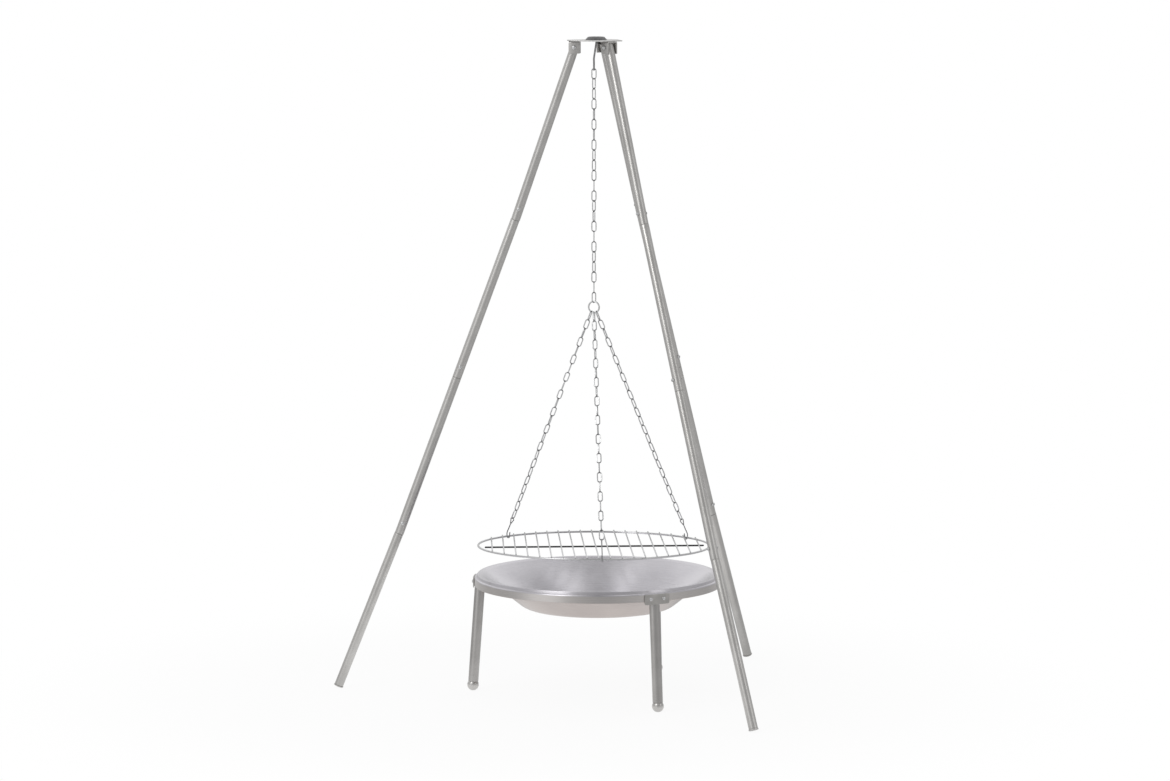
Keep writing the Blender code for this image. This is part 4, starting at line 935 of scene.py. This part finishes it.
def bowl_leg_axis(name):
    """The ball's centre, the leg's direction upwards, and the leg's length from that centre."""
    foot_reach = BOWL_LEG_FOOT_REACH[name]
    rise = BRACKET_BOTTOM - BALL_CENTRE_HEIGHT
    top_reach = BRACKET_INSIDE - GAP - BOWL_LEG_RADIUS
    lean = math.atan2(foot_reach - top_reach, rise)
    # A leaning tube is wider across at its top, so it starts a little further in, and leans a little more
    top_reach -= BOWL_LEG_RADIUS * (1 / math.cos(lean) - 1)
    lean = math.atan2(foot_reach - top_reach, rise)
    out = direction(BOWL_LEG_DIRECTIONS[name])
    up = UP * math.cos(lean) - out * math.sin(lean)
    top = RIM_HEIGHT - SKIRT_HEIGHT - GAP - BOWL_LEG_RADIUS * math.sin(lean)
    return out * foot_reach + UP * BALL_CENTRE_HEIGHT, up, (top - BALL_CENTRE_HEIGHT) / math.cos(lean)


def bowl_leg_mesh(name):
    foot, up, length = bowl_leg_axis(name)
    bore = BOWL_LEG_RADIUS - BOWL_LEG_WALL
    start = math.sqrt(BALL_RADIUS ** 2 - bore ** 2) + GAP
    lip = BOWL_LEG_LIP
    profile = [(bore, length - BOWL_LEG_DEPTH), (bore, length - lip), (bore + lip, length),
               (BOWL_LEG_RADIUS - lip, length), (BOWL_LEG_RADIUS, length - lip),
               (BOWL_LEG_RADIUS, start + lip), (BOWL_LEG_RADIUS - lip, start), (bore, start)]
    side = UP.cross(direction(BOWL_LEG_DIRECTIONS[name]))
    return moved(turned("bowl_leg", profile, TUBE_STEPS), frame_matrix(foot, side.cross(up), side, up))


def ball_mesh(name):
    """A ball round the leg's foot, flattened where it stands."""
    angles = [math.pi * k / BALL_RINGS for k in range(BALL_RINGS + 1)]
    profile = [(BALL_RADIUS * math.sin(a), BALL_RADIUS * math.cos(a)) for a in angles]
    ball = turned("ball", profile, BALL_STEPS)
    moved(ball, Matrix.Translation(bowl_leg_axis(name)[0]))
    for vertex in ball.vertices:
        vertex.co.z = max(vertex.co.z, 0.0)
    return ball


def add_bowl():
    place = Matrix.Translation((BOWL_SHIFT, 0, 0))
    add("bowl", turned("bowl", bowl_profile(), WIDE_STEPS), place, sharp=50)
    for name, azimuth in BOWL_LEG_DIRECTIONS.items():
        add(f"bowl_{name}_bracket", bracket_mesh(azimuth), place, "bracket")
        add(f"bowl_{name}_leg", bowl_leg_mesh(name), place, "bowl_leg")
        add(f"bowl_{name}_ball_foot", ball_mesh(name), place)
        for number, side in enumerate((-1, 1), 1):
            add(f"bowl_{name}_bolt_{number}", screw_mesh("bowl_bolt", BOWL_BOLT_RADIUS, BOWL_BOLT_GRIP),
                place @ bolt_place(azimuth, side))


# Stage, light and camera

# Brightness of the studio round the object, seen by all but the camera:
# degrees from straight behind the camera, to the right positive
STUDIO = [(-180, 1.0), (-150, 1.0), (-140, 0.9), (-115, 0.9), (-80, 0.6), (-66, 0.6), (-56, 1.0), (-34, 1.0),
          (-24, 0.5), (8, 0.42), (46, 0.4), (70, 0.55), (110, 0.6), (140, 0.55), (153, 1.0), (180, 1.0)]
# The same near the horizon, and for what the floor shows in reflections
HORIZON = [(-180, 0.62), (-115, 0.58), (-85, 0.5), (-68, 0.75), (-56, 1.0), (-38, 0.95), (-24, 0.6), (0, 0.5),
           (20, 0.5), (45, 0.62), (70, 0.6), (110, 0.52), (180, 0.62)]
# Brightness overhead: sideways part of the direction, to the right positive
OVERHEAD = [(-1.0, 0.7), (-0.6, 0.7), (-0.42, 0.8), (-0.25, 1.0), (-0.12, 0.5), (0.0, 0.28), (0.12, 0.5),
            (0.27, 1.0), (0.42, 0.5), (0.5, 0.38), (0.65, 0.42), (1.0, 0.5)]
# Upward part of a direction, from where one table starts to give way to the next to where it is gone
HORIZON_TO_STUDIO = (0.08, 0.35)
STUDIO_TO_OVERHEAD = (0.58, 0.9)

WHITE = (1, 1, 1, 1)
FLOOR_REACH, FLOOR_COLOUR, FLOOR_ROUGHNESS = 40, (0.93, 0.93, 0.93, 1), 0.9
# Distances from the origin over which the floor's glow grows from its first share to its last
GLOW_GROWS, GLOW_SHARES = (0.6, 1.6), (0.92, 1.0)
# Distances over which the floor, in reflections, turns from white to the studio near the horizon
MIRRORED_STUDIO_GROWS = (0.3, 0.9)

CAMERA_PLACE, CAMERA_YAW, CAMERA_PITCH = Vector((0, -11.0, 2.0088)), math.radians(-0.147), math.radians(6.376)
CAMERA_LENS, CAMERA_SENSOR, CAMERA_SIGHT = 133.35, 36.0, 200
# Name, place, target, width and height, power
LAMPS = [("key", (-3.2, -3.6, 4.2), (0.1, 0, 0.8), (2.4, 2.4), 45),
         ("fill", (4.0, -2.6, 2.6), (0.1, 0, 0.8), (2.0, 3.0), 12),
         ("top", (0.4, 1.5, 4.6), (0.1, 0, 0.4), (3.0, 2.0), 8)]


def studio_panels(tree, place, *tables):
    """The brightness of each table in the level direction of a vector."""
    split = new_node(tree, "SeparateXYZ", {0: place})
    ahead = calculated(tree, "MULTIPLY", split.outputs["Y"], -1.0)
    angle = calculated(tree, "ARCTAN2", split.outputs["X"], ahead)
    turn = map_range(tree, angle, (-math.pi, math.pi))
    return [ramp(tree, turn, [((azimuth + 180) / 360, (level, level, level)) for azimuth, level in table])
            for table in tables]


def add_floor():
    """A white floor that keeps the object's soft shadow and melts into the backdrop further out."""
    corners = [(x * FLOOR_REACH, y * FLOOR_REACH, 0) for x, y in ((-1, -1), (1, -1), (1, 1), (-1, 1))]
    floor = mesh_from("floor", corners, [(0, 1, 2, 3)])
    obj = link(bpy.data.objects.new("floor", floor))
    material, tree, shader = new_material("white_floor", 0.0, FLOOR_ROUGHNESS)
    shader.inputs["Base Color"].default_value = FLOOR_COLOUR
    shader.inputs["Specular IOR Level"].default_value = 0.0
    place = new_node(tree, "TexCoord", {}).outputs["Object"]
    reach = vector_node(tree, "LENGTH", place).outputs["Value"]
    share = map_range(tree, reach, GLOW_GROWS, GLOW_SHARES, "SMOOTHSTEP")
    path = new_node(tree, "LightPath", {})
    seen = calculated(tree, "MAXIMUM", path.outputs["Is Camera Ray"], path.outputs["Is Glossy Ray"])
    far = map_range(tree, reach, MIRRORED_STUDIO_GROWS, interpolation="SMOOTHSTEP")
    mirrored = calculated(tree, "MULTIPLY", path.outputs["Is Glossy Ray"], far)
    tone = mixed(tree, mirrored, WHITE, studio_panels(tree, place, HORIZON)[0])
    glow = new_node(tree, "Emission", {"Color": tone}).outputs["Emission"]
    glowing = calculated(tree, "MULTIPLY", seen, share)
    mix = new_node(tree, "MixShader", {"Fac": glowing, 1: shader.outputs["BSDF"], 2: glow})
    tree.links.new(mix.outputs["Shader"], tree.nodes["Material Output"].inputs["Surface"])
    floor.materials.append(material)


def add_world():
    """White to the camera, and to all else the studio, with tables of its own low down and overhead."""
    world = bpy.data.worlds.new("studio")
    bpy.context.scene.world = world
    world.use_nodes = True
    tree = world.node_tree
    white = tree.nodes["Background"]
    white.inputs["Color"].default_value = WHITE
    facing = new_node(tree, "TexCoord", {}).outputs["Generated"]
    split = new_node(tree, "SeparateXYZ", {0: facing})
    sideways = map_range(tree, split.outputs["X"], (-1.0, 1.0))
    above = ramp(tree, sideways, [((side + 1) / 2, (level, level, level)) for side, level in OVERHEAD])
    horizon, high = studio_panels(tree, facing, HORIZON, STUDIO)
    climb = map_range(tree, split.outputs["Z"], HORIZON_TO_STUDIO, interpolation="SMOOTHSTEP")
    rise = map_range(tree, split.outputs["Z"], STUDIO_TO_OVERHEAD, interpolation="SMOOTHSTEP")
    around = mixed(tree, climb, horizon, high)
    room = new_node(tree, "Background", {"Color": mixed(tree, rise, around, above)}).outputs["Background"]
    seen = new_node(tree, "LightPath", {}).outputs["Is Camera Ray"]
    mix = new_node(tree, "MixShader", {"Fac": seen, 1: room, 2: white.outputs["Background"]})
    tree.links.new(mix.outputs["Shader"], tree.nodes["World Output"].inputs["Surface"])


def add_lamp(name, place, target, size, power):
    data = bpy.data.lights.new(name, "AREA")
    data.shape = "RECTANGLE"
    data.size, data.size_y = size
    data.energy = power
    obj = link(bpy.data.objects.new(name, data))
    obj.location = place
    obj.rotation_euler = (Vector(target) - Vector(place)).to_track_quat("-Z", "Y").to_euler()


def add_camera():
    yaw, pitch = CAMERA_YAW, CAMERA_PITCH
    forward = Vector((math.sin(yaw) * math.cos(pitch), math.cos(yaw) * math.cos(pitch), -math.sin(pitch)))
    right = Vector((math.cos(yaw), -math.sin(yaw), 0))
    data = bpy.data.cameras.new("camera")
    data.sensor_fit = "HORIZONTAL"
    data.sensor_width = CAMERA_SENSOR
    data.lens = CAMERA_LENS
    data.clip_end = CAMERA_SIGHT
    camera = link(bpy.data.objects.new("camera", data))
    camera.matrix_world = frame_matrix(AXIS + CAMERA_PLACE, right, right.cross(forward), -forward)
    bpy.context.scene.camera = camera


add_legs()
add_head()
add_chains()
add_grate()
add_bowl()
add_floor()
add_world()
for lamp in LAMPS:
    add_lamp(*lamp)
add_camera()
bpy.context.scene.view_settings.view_transform = "Standard"
